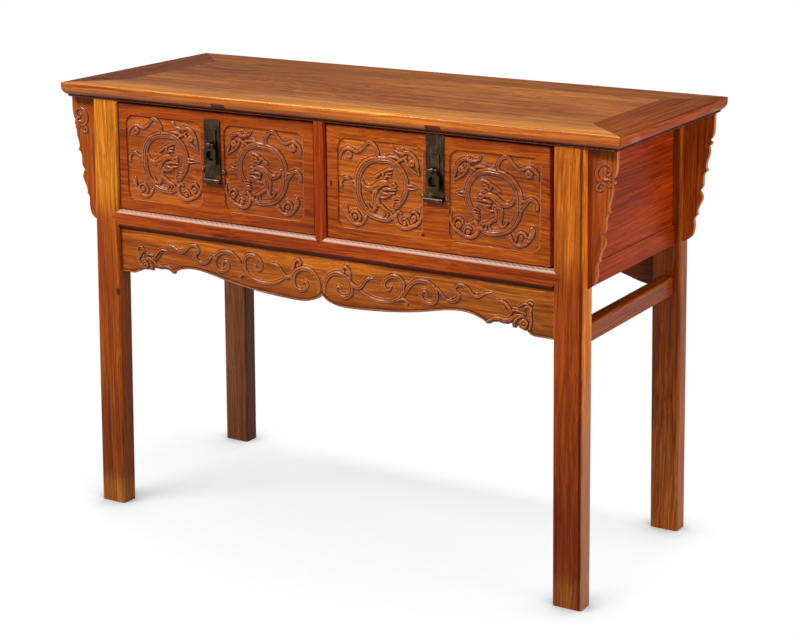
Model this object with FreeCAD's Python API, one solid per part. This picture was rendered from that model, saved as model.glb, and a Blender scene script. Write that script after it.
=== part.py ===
import FreeCAD, Part
import math
import os

# A two-drawer coffer in joined hardwood, in millimetres: +Z up, +X to the right along the front,
# the front faces -Y, and the origin is on the floor under the middle of the top.

Vec = FreeCAD.Vector

# Overall size
HEIGHT = 850.0
TOP_LENGTH = 1182.0
TOP_DEPTH = 468.0
REACH = 900.0  # longer than any piece, for cutting prisms
ARC_TOLERANCE = 0.25  # a smooth curve is drawn as arcs that keep this close to it
LAP = 1.0  # overlap of two solids that are joined, and slack when lengths are compared

# Top: mitred frame with a floating panel and an ice-plate edge
TOP_THICK = 28.0
FRAME_WIDTH = 92.0
EDGE_ARRIS = 2.0  # small round at the upper edge
EDGE_FLAT = 7.0  # upright stretch under it
EDGE_OVOLO = 9.0  # how far the ovolo draws in
EDGE_BEAD = 2.0  # radius of the bead under it, set back behind a quirk
PANEL_THICK = 12.0
PANEL_TONGUE = 6.0
PANEL_TONGUE_Z = (840.5, 845.5)
END_TENON_Z = (831.0, 841.0)
END_TENON_SET = (48.0, 80.0)  # from the long edge, measured in along the end
BATTEN_X = (-219.0, 238.0)
BATTEN_WIDTH = 34.0
BATTEN_CLEAR = 1.0  # the batten stands this far above the frame's underside
BATTEN_KEY = (14.0, 20.0)  # dovetail key, at its root and at its top
BATTEN_KEY_RISE = 4.0
BATTEN_TENON_WIDTH = 31.0
BATTEN_TENON_Z = (828.5, 837.5)

# Legs lean in towards the top, along X and along Y
FOOT_X = 540.0
FOOT_Y = 232.5
SPLAY_X = 18.4
SPLAY_Y = 9.3
LEG_X = 57.0
LEG_Y = 37.5
LEG_ARRIS = 5.0
LEG_TENON = (32.0, 14.0, 16.0)

# Rails under the drawers
RAIL_TOP = 610.0
RAIL_HEIGHT = 38.0
FRONT_RAIL_DEPTH = 32.0
RAIL_ROUND_TOP = 8.0
RAIL_ROUND_FOOT = 10.0
NOSE_RUN = 15.5  # the pointed shoulder runs this far on to the leg
NOSE_ROOT = 5.0
NOSE_Z = (582.0, 594.5)  # foot and tip
NOSE_DEPTH = 10.0
RAIL_TENON = 27.0
RAIL_TENON_THICK = 12.0
FRONT_TENON_Y = -207.0  # middle of the front rail's tenons
RAIL_TENON_Z = (585.0, 603.0)
REAR_RAIL_Y = (194.0, 220.0)
SIDE_INSET = 14.0
SIDE_RAIL_THICK = 20.0
SIDE_TENON = 22.0
SIDE_TENON_THICK = 10.0
STRETCHER_Z = (473.5, 509.0)
STRETCHER_THICK = 26.0
STRETCHER_ARRIS = 4.0
STRETCHER_TENON = 25.0
STRETCHER_TENON_INSET = 6.0

# Posts between the drawers stand a little left of the middle
POST_X = -3.5
POST_WIDTH = 24.0
POST_FRONT_Y = -224.4
POST_DEPTH = 30.0
POST_ARRIS = 5.0
POST_NOSE = 13.0  # height of the pointed foot let into the rail
POST_NOSE_DEPTH = 8.0
POST_TENON = (12.0, 14.0, 14.0)
REAR_POST_TENON_SET = 2.0  # behind the rear post's middle, clear of the runner's tenon

# Panels in grooves
GROOVE = 6.0
TOP_GROOVE = 3.5  # shallower, under the battens' tenons
SIDE_PANEL_INSET = 16.0
SIDE_PANEL_THICK = 7.0
BACK_PANEL_INSET = 10.0
BACK_PANEL_THICK = 8.0
POST_GROOVE = 5.0

# Aprons: lower edge as (out from the posts' middle, height), cusp to cusp; the rear one is plain
APRON_THICK = 16.0
FRONT_APRON_Y = -218.6
REAR_APRON_Y = 204.0
APRON_TONGUE = (4.5, 12.5)  # behind the front face
APRON_TONGUE_REACH = 6.0
APRON_CUSP = (0.0, 501.0)
REAR_APRON_MIDDLE = (0.0, 482.0)
APRON_CURVES = [
    [(7, 494.5), (16, 489.3), (35, 484.3), (65, 483.4), (155, 489.6), (215, 498.6), (258, 507.4), (293, 511),
     (322, 506.8), (345, 496.5)],
    [(351, 500.8), (363, 503.6), (384, 501.2), (395, 505.2)],
    [(395.8, 500), (398.5, 496.2), (402.5, 499.3), (406.5, 500.4)],
    [(410.5, 496.5), (415.5, 494.2), (423.5, 494)],
    [(427.5, 489.8), (433.5, 486.8), (440, 486)],
]
REAR_APRON_CURVES = [
    [(65, 484), (155, 489.6), (250, 502), (330, 508), (398, 502.3), (425, 495), (446, 488.4), (460, 486)],
]
APRON_END = (485.0, 485.6)
APRON_BEAD_RISE = 3.6
APRON_BEAD_PROUD = 1.4
APRON_BEAD_SPANS = ((-490.0, -424.0), (-345.0, 345.0), (424.0, 490.0))  # between the leaves

# Spandrels: outer edge as (out from the leg's head, down from the top's underside), cusp to cusp
SPANDREL_THICK = 9.5
SPANDREL_RECESS = 14.0
SPANDREL_TONGUE = (2.5, 7.0)  # behind the front face
SPANDREL_TONGUE_DEEP = 5.0
SPANDREL_SHIFT = 5.5  # the front left one reaches this much further out, the front right one less
SPANDREL_TOP_OUT = 58.0
SPANDREL_SHOULDER = 25.0
SPANDREL_CURVES = [
    [(57.2, 36), (55.0, 43), (49.0, 50)],
    [(54.6, 54.5), (48.8, 60.4)],
    [(50.5, 67.5), (48.7, 82), (45.0, 99), (48.6, 107)],
    [(42.2, 111.5), (40.2, 120), (40.3, 135), (33.6, 145)],
    [(38.9, 153), (40.1, 159.5), (35.3, 171.5), (31.0, 183), (31.6, 192)],
    [(26.8, 197), (26.8, 208), (25.8, 222), (23.2, 230.7), (16.5, 238), (8.0, 243)],
]

# Drawer runners, measured from the posts' middle
RUNNER_DEEP = 26.0
RUNNER_TENON = 8.0
SIDE_RUNNER = (432.0, 465.0)
SIDE_GUIDE = 456.7
GUIDE_HIGH = 16.0
CENTRE_RUNNER_HALF = 38.0
CENTRE_GUIDE_HALF = 13.3

# Drawers, measured from the posts' middle
DRAWER_FACE_Y = -218.6
DRAWER_FRONT_THICK = 20.0
DRAWER_FRONT_Z = (611.5, 818.5)
DRAWER_INNER_EDGE = 14.0
DRAWER_LEG_GAP = 1.5
DRAWER_ARRIS = 1.0
DRAWER_END_Y = 201.0
DRAWER_SIDE_Z = (610.4, 800.0)
DRAWER_SIDE_THICK = 12.0
OUTER_SIDE = 456.0
INNER_SIDE = 14.8
TAIL_Z = (640.0, 702.0, 764.0)
TAIL_DEPTH = 12.0
TAIL_HALF = (12.0, 16.0)  # at the shoulder and at the tip
DRAWER_BOTTOM_Z = (618.0, 626.0)
DRAWER_GROOVE = 5.0
DRAWER_BACK_TOP = 790.0
BACK_TENON_Z = ((650.0, 682.0), (728.0, 760.0))

# Sunk cartouches on the drawer fronts, with stepped hollow corners
CARTOUCHE_X = (125.4, 355.6)
CARTOUCHE_Z = 714.8
CARTOUCHE_SIZE = (177.0, 164.0)
CARTOUCHE_STEP = 2.5
CARTOUCHE_HOLLOW = 9.0
CARTOUCHE_SUNK = 2.5

# Lock fittings, measured from the lock's middle and out from the drawer's face
LOCK_X = 239.0
STRAP_WIDTH = 36.0
STRAP_THICK = 1.8
STRAP_GAP = 0.4
STRAP_TOP_Z = 805.5
STRAP_CORNER = 2.0
ROLL_Z = 689.7
ROLL_RADIUS = 4.75
ROLL_BORE = 2.2
ROLL_LENGTH = 38.0
BOLT_TRAVEL = 15.0
BOLT_SLOT_WIDTH = 7.2
BOLT_POCKET = (38.0, 3.4, 3.5)  # in the underside of the top
ESCUTCHEON_SIZE = (21.0, 1.5)
ESCUTCHEON_Z = (732.0, 785.0)
ESCUTCHEON_BORDER = 1.8
ESCUTCHEON_PROUD = 0.8
EYE_OUT = 9.5
EYE_Z = 758.5
EYE_RADIUS = 4.6
EYE_BORE = 2.45
SHANK = 5.0
SHANK_DEEP = 19.0
PULL_BAR = 2.4
PULL_THICK = 3.0
PULL_HALF = 13.5
PULL_NECK_HALF = 8.0
PULL_NOTCH_HALF = 3.2
PULL_NOTCH_Z = 752.0
PULL_Z = (719.5, 748.0, 754.0)  # foot, shoulder and neck
WINDOW_HALF = 7.5
WINDOW_Z = (729.5, 740.0)  # sill and springing of the arch
NAIL_X = 23.9
NAIL_Z = 708.5
NAIL_DOME = [(4.5, 0.0), (4.0, 1.9), (2.6, 3.2), (0.9, 3.7)]  # filed facets, as (radius, rise)
NAIL_SIDES = 12
NAIL_SHANK = (2.6, 14.0)  # square, and its length

UNDERSIDE = HEIGHT - TOP_THICK
RAIL_FOOT = RAIL_TOP - RAIL_HEIGHT
RAIL_MIDDLE = RAIL_TOP - RAIL_HEIGHT / 2
HALF_X = TOP_LENGTH / 2
HALF_Y = TOP_DEPTH / 2
INNER_FRAME_X = HALF_X - FRAME_WIDTH
INNER_FRAME_Y = HALF_Y - FRAME_WIDTH


# The leaning faces of the legs, as distances from the middle at a height z

def outer_x(z):
    return FOOT_X - SPLAY_X * z / HEIGHT


def inner_x(z):
    return outer_x(z) - LEG_X


def outer_y(z):
    return FOOT_Y - SPLAY_Y * z / HEIGHT


def inner_y(z):
    return outer_y(z) - LEG_Y


FRONT_RAIL_Y = -outer_y(RAIL_MIDDLE)
FRONT_RAIL_BACK_Y = FRONT_RAIL_Y + FRONT_RAIL_DEPTH


# Small builders

def xy(x, y):
    return Vec(x, y, 0)


def xz(x, z):
    return Vec(x, 0, z)


def yz(y, z):
    return Vec(0, y, z)


def outline(start, *steps):
    """Closed wire: a point draws a line, a pair an arc through its first, a list a smooth curve."""
    edges = []
    here = start
    for step in list(steps) + [start]:
        if isinstance(step, tuple):
            edges.append(Part.Arc(here, step[0], step[1]).toShape())
            here = step[1]
        elif isinstance(step, list):
            curve = Part.BSplineCurve()
            curve.interpolate([here] + step)
            edges += [arc.toShape() for arc in curve.toBiArcs(ARC_TOLERANCE)]
            here = step[-1]
        elif (step - here).Length > 1e-6:
            edges.append(Part.LineSegment(here, step).toShape())
            here = step
    return Part.Wire(edges)


def rounded(start, corner, end):
    """Outline step: the quarter circle from start to end that rounds off the corner."""
    centre = start + end - corner
    away = corner - centre
    middle = centre + away * ((start - centre).Length / away.Length)
    return (middle, end)


def extrude(wire, start, end):
    face = Part.Face(wire)
    face.translate(start)
    return face.extrude(end - start)


def along_x(wire, x0, x1):
    return extrude(wire, Vec(x0, 0, 0), Vec(x1, 0, 0))


def along_y(wire, y0, y1):
    return extrude(wire, Vec(0, y0, 0), Vec(0, y1, 0))


def along_z(wire, z0, z1):
    return extrude(wire, Vec(0, 0, z0), Vec(0, 0, z1))


def box(x0, x1, y0, y1, z0, z1):
    return Part.makeBox(x1 - x0, y1 - y0, z1 - z0, Vec(x0, y0, z0))


def leaning(x_low, x_high, y_low, y_high, z0, z1):
    """Board with leaning sides: each limit is a function of the height."""
    seen_from_front = outline(xz(x_low(z0), z0), xz(x_high(z0), z0), xz(x_high(z1), z1), xz(x_low(z1), z1))
    seen_from_side = outline(yz(y_low(z0), z0), yz(y_high(z0), z0), yz(y_high(z1), z1), yz(y_low(z1), z1))
    return along_y(seen_from_front, -REACH, REACH).common(along_x(seen_from_side, -REACH, REACH))


def mirror_x(shape, x=0.0):
    return shape.mirror(Vec(x, 0, 0), Vec(1, 0, 0))


def mirror_y(shape):
    return shape.mirror(Vec(0, 0, 0), Vec(0, 1, 0))


def joined(first, *rest):
    return first.fuse(list(rest)).removeSplitter()


def cut(shape, *tools):
    return shape.cut(list(tools))


# Legs

def leg_envelope():
    """Front left leg before its arrises are rounded."""
    return leaning(lambda z: -outer_x(z), lambda z: -inner_x(z),
                   lambda z: -outer_y(z), lambda z: -inner_y(z), 0, UNDERSIDE)


def leg_blank():
    leg = leg_envelope()
    long_edges = [edge for edge in leg.Edges if edge.Length > UNDERSIDE - LAP]
    leg = leg.makeFillet(LEG_ARRIS, long_edges)
    wide, deep, high = LEG_TENON
    x = -outer_x(UNDERSIDE) + LEG_X / 2
    y = -outer_y(UNDERSIDE) + LEG_Y / 2
    tenon = box(x - wide / 2, x + wide / 2, y - deep / 2, y + deep / 2, UNDERSIDE - LAP, UNDERSIDE + high)
    return joined(leg, tenon)


def between_legs(grow=0.0):
    """The space between the left and right legs, grown into them by a tongue's length."""
    return leaning(lambda z: -inner_x(z) - grow, lambda z: inner_x(z) + grow,
                   lambda z: -REACH, lambda z: REACH, 0, HEIGHT)


# Rails and stretchers

def nose_space():
    """The pointed notch for the front rail's left shoulder, open to the front."""
    foot, tip = NOSE_Z
    shape = outline(xz(-inner_x(RAIL_TOP), RAIL_TOP), xz(-inner_x(tip) - NOSE_RUN, tip),
                    xz(-inner_x(foot), foot), xz(-inner_x(foot) + NOSE_ROOT, foot),
                    xz(-inner_x(RAIL_TOP) + NOSE_ROOT, RAIL_TOP))
    return along_y(shape, -REACH, FRONT_RAIL_Y + NOSE_DEPTH)


def rail_tenon(y_middle):
    x = inner_x(RAIL_MIDDLE)
    half = RAIL_TENON_THICK / 2
    return box(-x - RAIL_TENON, -x + RAIL_TENON, y_middle - half, y_middle + half, *RAIL_TENON_Z)


def front_rail():
    face = FRONT_RAIL_Y
    high = yz(face + RAIL_ROUND_TOP, RAIL_TOP)
    low = yz(face, RAIL_FOOT + RAIL_ROUND_FOOT)
    section = outline(high, rounded(high, yz(face, RAIL_TOP), yz(face, RAIL_TOP - RAIL_ROUND_TOP)), low,
                      rounded(low, yz(face, RAIL_FOOT), yz(face + RAIL_ROUND_FOOT, RAIL_FOOT)),
                      yz(FRONT_RAIL_BACK_Y, RAIL_FOOT), yz(FRONT_RAIL_BACK_Y, RAIL_TOP))
    bar = along_x(section, -REACH, REACH)
    nose = bar.common(nose_space())
    tenon = rail_tenon(FRONT_TENON_Y)
    return joined(bar.common(between_legs()), nose, mirror_x(nose), tenon, mirror_x(tenon))


def rear_rail():
    y0, y1 = REAR_RAIL_Y
    bar = box(-REACH, REACH, y0, y1, RAIL_FOOT, RAIL_TOP)
    tenon = rail_tenon((y0 + y1) / 2)
    return joined(bar.common(between_legs()), tenon, mirror_x(tenon))


def side_bar(inset, thick, z0, z1, grow=0.0):
    """A bar on the left side, from leg to leg, grown into the legs by a tenon's length."""
    return leaning(lambda z: -outer_x(z) + inset, lambda z: -outer_x(z) + inset + thick,
                   lambda z: -inner_y(z) - grow, lambda z: inner_y(z) + grow, z0, z1)


def side_rail():
    bar = side_bar(SIDE_INSET, SIDE_RAIL_THICK, RAIL_FOOT, RAIL_TOP)
    cheek = (SIDE_RAIL_THICK - SIDE_TENON_THICK) / 2
    tenon = side_bar(SIDE_INSET + cheek, SIDE_TENON_THICK, *RAIL_TENON_Z, SIDE_TENON)
    return joined(bar, tenon)


def stretcher():
    z0, z1 = STRETCHER_Z
    bar = side_bar(SIDE_INSET, STRETCHER_THICK, z0, z1)
    long_edges = [edge for edge in bar.Edges if edge.Length > 2 * inner_y(z1) - LAP]
    bar = bar.makeFillet(STRETCHER_ARRIS, long_edges)
    step = STRETCHER_TENON_INSET
    tenon = side_bar(SIDE_INSET + step, STRETCHER_THICK - 2 * step, z0 + step, z1 - step, STRETCHER_TENON)
    return joined(bar, tenon)


# Posts

def post_nose_space():
    """The pointed notch in the front rail under the centre post, open to the front."""
    left = POST_X - POST_WIDTH / 2
    right = POST_X + POST_WIDTH / 2
    point = outline(xz(left, RAIL_TOP), xz(POST_X, RAIL_TOP - POST_NOSE), xz(right, RAIL_TOP))
    return along_y(point, -REACH, POST_FRONT_Y + POST_NOSE_DEPTH)


def post_tenons(y_middle):
    wide, deep, high = POST_TENON
    return box(POST_X - wide / 2, POST_X + wide / 2, y_middle - deep / 2, y_middle + deep / 2,
               RAIL_TOP - high, UNDERSIDE + high)


def centre_post():
    left = POST_X - POST_WIDTH / 2
    right = POST_X + POST_WIDTH / 2
    front = POST_FRONT_Y
    back = front + POST_DEPTH
    first = xy(left, front + POST_ARRIS)
    second = xy(right - POST_ARRIS, front)
    section = outline(first, rounded(first, xy(left, front), xy(left + POST_ARRIS, front)), second,
                      rounded(second, xy(right, front), xy(right, front + POST_ARRIS)),
                      xy(right, back), xy(left, back))
    shaft = along_z(section, RAIL_TOP, UNDERSIDE)
    nose = along_z(section, RAIL_TOP - POST_NOSE, RAIL_TOP).common(post_nose_space())
    return joined(shaft, nose, post_tenons((front + back) / 2))


def rear_post():
    half = POST_WIDTH / 2
    y0, y1 = REAR_RAIL_Y
    shaft = box(POST_X - half, POST_X + half, y0, y1, RAIL_TOP, UNDERSIDE)
    return joined(shaft, post_tenons((y0 + y1) / 2 + REAR_POST_TENON_SET))


# Panels

def side_panel():
    return side_bar(SIDE_PANEL_INSET, SIDE_PANEL_THICK, RAIL_TOP - GROOVE, UNDERSIDE + TOP_GROOVE, GROOVE)


def back_panel(x_low, x_high):
    return leaning(x_low, x_high, lambda z: outer_y(z) - BACK_PANEL_INSET - BACK_PANEL_THICK,
                   lambda z: outer_y(z) - BACK_PANEL_INSET, RAIL_TOP - GROOVE, UNDERSIDE + TOP_GROOVE)


def back_panels():
    """Two panels, each from a rear leg to the rear post."""
    lap = POST_WIDTH / 2 - POST_GROOVE
    return {"back_panel_left": back_panel(lambda z: -inner_x(z) - GROOVE, lambda z: POST_X - lap),
            "back_panel_right": back_panel(lambda z: POST_X + lap, lambda z: inner_x(z) + GROOVE)}


# Aprons

def apron_shape(middle, curves, top_z):
    """An apron's outline seen from the front, run on past the legs' faces."""
    right = [[xz(POST_X + x, z) for x, z in curve] for curve in curves]
    left = []
    start = middle
    for curve in curves:
        back = [start] + curve[:-1]
        left.insert(0, [xz(POST_X - x, z) for x, z in reversed(back)])
        start = curve[-1]
    end_x, end_z = APRON_END
    return outline(xz(POST_X, middle[1]), *right, xz(POST_X + end_x, end_z), xz(POST_X + end_x, top_z),
                   xz(POST_X - end_x, top_z), xz(POST_X - end_x, end_z), xz(POST_X - start[0], start[1]),
                   *left)


def apron(face_y, middle, curves):
    """Apron board with its tongues, its front face at face_y."""
    whole = apron_shape(middle, curves, RAIL_FOOT)
    board = along_y(whole, face_y, face_y + APRON_THICK).common(between_legs())
    t0, t1 = APRON_TONGUE
    ends = along_y(apron_shape(middle, curves, RAIL_FOOT - GROOVE), face_y + t0, face_y + t1)
    ends = ends.common(between_legs(APRON_TONGUE_REACH))
    top = box(-inner_x(RAIL_FOOT) + GROOVE, inner_x(RAIL_FOOT) - GROOVE, face_y + t0, face_y + t1,
              RAIL_FOOT - LAP, RAIL_FOOT + GROOVE)
    return joined(board, ends, top)


def front_apron():
    """Apron with a square bead left along its lower edge, except at the leaves."""
    shape = Part.Face(apron_shape(APRON_CUSP, APRON_CURVES, RAIL_FOOT))
    raised = shape.copy()
    raised.translate(Vec(0, 0, APRON_BEAD_RISE))
    bead = shape.cut(raised)
    bead.translate(Vec(0, FRONT_APRON_Y - APRON_BEAD_PROUD, 0))
    bead = bead.extrude(Vec(0, APRON_BEAD_PROUD, 0)).common(between_legs())
    spans = [box(POST_X + x0, POST_X + x1, -REACH, REACH, 0, HEIGHT) for x0, x1 in APRON_BEAD_SPANS]
    board = apron(FRONT_APRON_Y, APRON_CUSP, APRON_CURVES)
    return joined(board, *(bead.common(span) for span in spans))


def rear_apron():
    return apron(REAR_APRON_Y, REAR_APRON_MIDDLE, REAR_APRON_CURVES)


# Spandrels

def spandrel_shape(shift, inward):
    """Front left spandrel seen from the front, shifted out, run inward past the leg's face."""
    head = -outer_x(UNDERSIDE)
    edge = head - shift
    curves = [[xz(edge - out, UNDERSIDE - down) for out, down in curve] for curve in SPANDREL_CURVES]
    foot_z = curves[-1][-1].z
    shoulder = xz(edge - SPANDREL_TOP_OUT, UNDERSIDE - SPANDREL_SHOULDER)
    return outline(xz(edge - SPANDREL_TOP_OUT, UNDERSIDE), shoulder, *curves,
                   xz(-outer_x(foot_z) + inward, foot_z), xz(head + inward, UNDERSIDE))


def spandrel(shift):
    front = -outer_y(UNDERSIDE) + SPANDREL_RECESS
    shape = spandrel_shape(shift, SPANDREL_TONGUE_DEEP)
    board = along_y(shape, front, front + SPANDREL_THICK).cut(leg_envelope())
    t0, t1 = SPANDREL_TONGUE
    return joined(board, along_y(shape, front + t0, front + t1))


def spandrels():
    rear = mirror_y(spandrel(0.0))
    return {"spandrel_front_left": spandrel(SPANDREL_SHIFT),
            "spandrel_front_right": mirror_x(spandrel(-SPANDREL_SHIFT)),
            "spandrel_rear_left": rear, "spandrel_rear_right": mirror_x(rear)}


# Drawer runners

def runner(section):
    """A runner from the front rail to the rear rail, tenoned into both below its top."""
    y0 = FRONT_RAIL_BACK_Y
    y1 = REAR_RAIL_Y[0]
    bar = along_y(section, y0, y1)
    longer = along_y(section, y0 - RUNNER_TENON, y1 + RUNNER_TENON)
    tenon_space = box(-REACH, REACH, -REACH, REACH, RAIL_TOP - RUNNER_DEEP, RAIL_TOP - GROOVE)
    return joined(bar, longer.common(tenon_space))


def left_runner():
    inner, outer = (POST_X - x for x in SIDE_RUNNER)
    guide = POST_X - SIDE_GUIDE
    foot = RAIL_TOP - RUNNER_DEEP
    crest = RAIL_TOP + GUIDE_HIGH
    return runner(outline(xz(outer, foot), xz(inner, foot), xz(inner, RAIL_TOP), xz(guide, RAIL_TOP),
                          xz(guide, crest), xz(outer, crest)))


def centre_runner():
    half = CENTRE_RUNNER_HALF
    guide = CENTRE_GUIDE_HALF
    foot = RAIL_TOP - RUNNER_DEEP
    crest = RAIL_TOP + GUIDE_HIGH
    return runner(outline(xz(POST_X - half, foot), xz(POST_X + half, foot), xz(POST_X + half, RAIL_TOP),
                          xz(POST_X + guide, RAIL_TOP), xz(POST_X + guide, crest), xz(POST_X - guide, crest),
                          xz(POST_X - guide, RAIL_TOP), xz(POST_X - half, RAIL_TOP)))


# Top

def edge_section(point, sign, half):
    """Frame member's section: the ice-plate edge outside, a square edge inside."""
    def at(inward, z):
        return point(sign * (half - inward), z)

    arris = at(EDGE_ARRIS, HEIGHT)
    fall = HEIGHT - EDGE_ARRIS
    brow = at(0, fall - EDGE_FLAT)
    foot_z = UNDERSIDE + 2 * EDGE_BEAD
    quirk = EDGE_OVOLO + EDGE_BEAD
    drop = fall - EDGE_FLAT - foot_z
    radius = (EDGE_OVOLO ** 2 + drop ** 2) / (2 * EDGE_OVOLO)
    away = Vec(EDGE_OVOLO / 2 - radius, -drop / 2, 0)
    away.multiply(radius / away.Length)
    belly = at(radius + away.x, fall - EDGE_FLAT + away.y)
    return outline(arris, rounded(arris, at(0, HEIGHT), at(0, fall)), brow, (belly, at(EDGE_OVOLO, foot_z)),
                   at(quirk, foot_z), (at(EDGE_OVOLO, UNDERSIDE + EDGE_BEAD), at(quirk, UNDERSIDE)),
                   at(FRAME_WIDTH, UNDERSIDE), at(FRAME_WIDTH, HEIGHT))


def long_bar():
    """Front member's section over the whole length, before mitring."""
    return along_x(edge_section(yz, -1, HALF_Y), -HALF_X, HALF_X)


def end_bar():
    """Left member's section over the whole depth, before mitring."""
    return along_y(edge_section(xz, -1, HALF_X), -HALF_Y, HALF_Y)


def top_rail():
    """Front member of the top: mitred ends, with a tenon through each end member."""
    mitre = outline(xy(-HALF_X, -HALF_Y), xy(HALF_X, -HALF_Y), xy(INNER_FRAME_X, -INNER_FRAME_Y),
                    xy(-INNER_FRAME_X, -INNER_FRAME_Y))
    y0, y1 = (-HALF_Y + step for step in END_TENON_SET)
    tenon = box(-HALF_X, -INNER_FRAME_X, y0, y1, *END_TENON_Z).common(end_bar())
    return joined(long_bar().common(along_z(mitre, UNDERSIDE, HEIGHT)), tenon, mirror_x(tenon))


def top_end():
    mitre = outline(xy(-HALF_X, -HALF_Y), xy(-INNER_FRAME_X, -INNER_FRAME_Y),
                    xy(-INNER_FRAME_X, INNER_FRAME_Y), xy(-HALF_X, HALF_Y))
    return end_bar().common(along_z(mitre, UNDERSIDE, HEIGHT))


def top_panel():
    board = box(-INNER_FRAME_X, INNER_FRAME_X, -INNER_FRAME_Y, INNER_FRAME_Y, HEIGHT - PANEL_THICK, HEIGHT)
    x = INNER_FRAME_X + PANEL_TONGUE
    y = INNER_FRAME_Y + PANEL_TONGUE
    return joined(board, box(-x, x, -y, y, *PANEL_TONGUE_Z))


def batten(x):
    half = BATTEN_WIDTH / 2
    crest = HEIGHT - PANEL_THICK
    root, tip = (width / 2 for width in BATTEN_KEY)
    key_z = crest + BATTEN_KEY_RISE
    section = outline(xz(x - half, UNDERSIDE + BATTEN_CLEAR), xz(x + half, UNDERSIDE + BATTEN_CLEAR),
                      xz(x + half, crest), xz(x + root, crest), xz(x + tip, key_z), xz(x - tip, key_z),
                      xz(x - root, crest), xz(x - half, crest))
    bar = along_y(section, -INNER_FRAME_Y, INNER_FRAME_Y)
    reach = BATTEN_TENON_WIDTH / 2
    tenon = box(x - reach, x + reach, -HALF_Y, -INNER_FRAME_Y, *BATTEN_TENON_Z).common(long_bar())
    return joined(bar, tenon, mirror_y(tenon))


def bolt_pocket():
    """The shallow pocket over the left bolt, in the underside of the top."""
    wide, deep, high = BOLT_POCKET
    x = POST_X - LOCK_X
    y = DRAWER_FACE_Y - STRAP_GAP - STRAP_THICK / 2
    return box(x - wide / 2, x + wide / 2, y - deep / 2, y + deep / 2, UNDERSIDE, UNDERSIDE + high)


# Left drawer; the right one is its mirror image about the posts

def cartouche(offset):
    """Tool for one sunk cartouche: a rectangle whose corners step in to hollow quarter rounds."""
    x = POST_X - offset
    half_x = CARTOUCHE_SIZE[0] / 2
    half_z = CARTOUCHE_SIZE[1] / 2
    near = CARTOUCHE_STEP
    far = CARTOUCHE_STEP + CARTOUCHE_HOLLOW
    bend = far - CARTOUCHE_HOLLOW * 0.5 ** 0.5
    steps = []
    for right, up in ((1, -1), (1, 1), (-1, 1), (-1, -1)):
        def at(inward_x, inward_z):
            return xz(x + right * (half_x - inward_x), CARTOUCHE_Z + up * (half_z - inward_z))

        corner = [at(far, 0), at(far, near), at(bend, bend), at(near, far), at(0, far)]
        if right * up > 0:
            corner.reverse()
        steps += [corner[0], corner[1], (corner[2], corner[3]), corner[4]]
    face = DRAWER_FACE_Y
    return along_y(outline(steps[0], *steps[1:]), face - LAP, face + CARTOUCHE_SUNK)


def drawer_front():
    z0, z1 = DRAWER_FRONT_Z
    face = DRAWER_FACE_Y
    board = leaning(lambda z: -inner_x(z) + DRAWER_LEG_GAP, lambda z: POST_X - DRAWER_INNER_EDGE,
                    lambda z: face, lambda z: face + DRAWER_FRONT_THICK, z0, z1)
    front_edges = [edge for edge in board.Edges if edge.BoundBox.YMax < face + LAP]
    board = board.makeChamfer(DRAWER_ARRIS, front_edges)
    return cut(board, *(cartouche(offset) for offset in CARTOUCHE_X))


def drawer_side(x0, x1):
    """Drawer side with its dovetails, between two distances from the posts' middle."""
    z0, z1 = DRAWER_SIDE_Z
    shoulder = DRAWER_FACE_Y + DRAWER_FRONT_THICK
    tip = shoulder - TAIL_DEPTH
    low, high = TAIL_HALF
    board = box(POST_X - x1, POST_X - x0, shoulder, DRAWER_END_Y, z0, z1)
    tails = []
    for z in TAIL_Z:
        tail = outline(yz(shoulder, z - low), yz(tip, z - high), yz(tip, z + high), yz(shoulder, z + low))
        tails.append(along_x(tail, POST_X - x1, POST_X - x0))
    return joined(board, *tails)


def drawer_back():
    outer = POST_X - OUTER_SIDE
    inner = POST_X - INNER_SIDE
    thick = DRAWER_SIDE_THICK
    y0 = DRAWER_END_Y - thick
    board = box(outer + thick, inner - thick, y0, DRAWER_END_Y, DRAWER_BOTTOM_Z[1], DRAWER_BACK_TOP)
    return joined(board, *(box(outer, inner, y0, DRAWER_END_Y, *z) for z in BACK_TENON_Z))


def drawer_bottom():
    inset = DRAWER_SIDE_THICK - DRAWER_GROOVE
    return box(POST_X - OUTER_SIDE + inset, POST_X - INNER_SIDE - inset,
               DRAWER_FACE_Y + DRAWER_FRONT_THICK - DRAWER_GROOVE, DRAWER_END_Y, *DRAWER_BOTTOM_Z)


# Left lock; the right one is its mirror image about the posts

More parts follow.
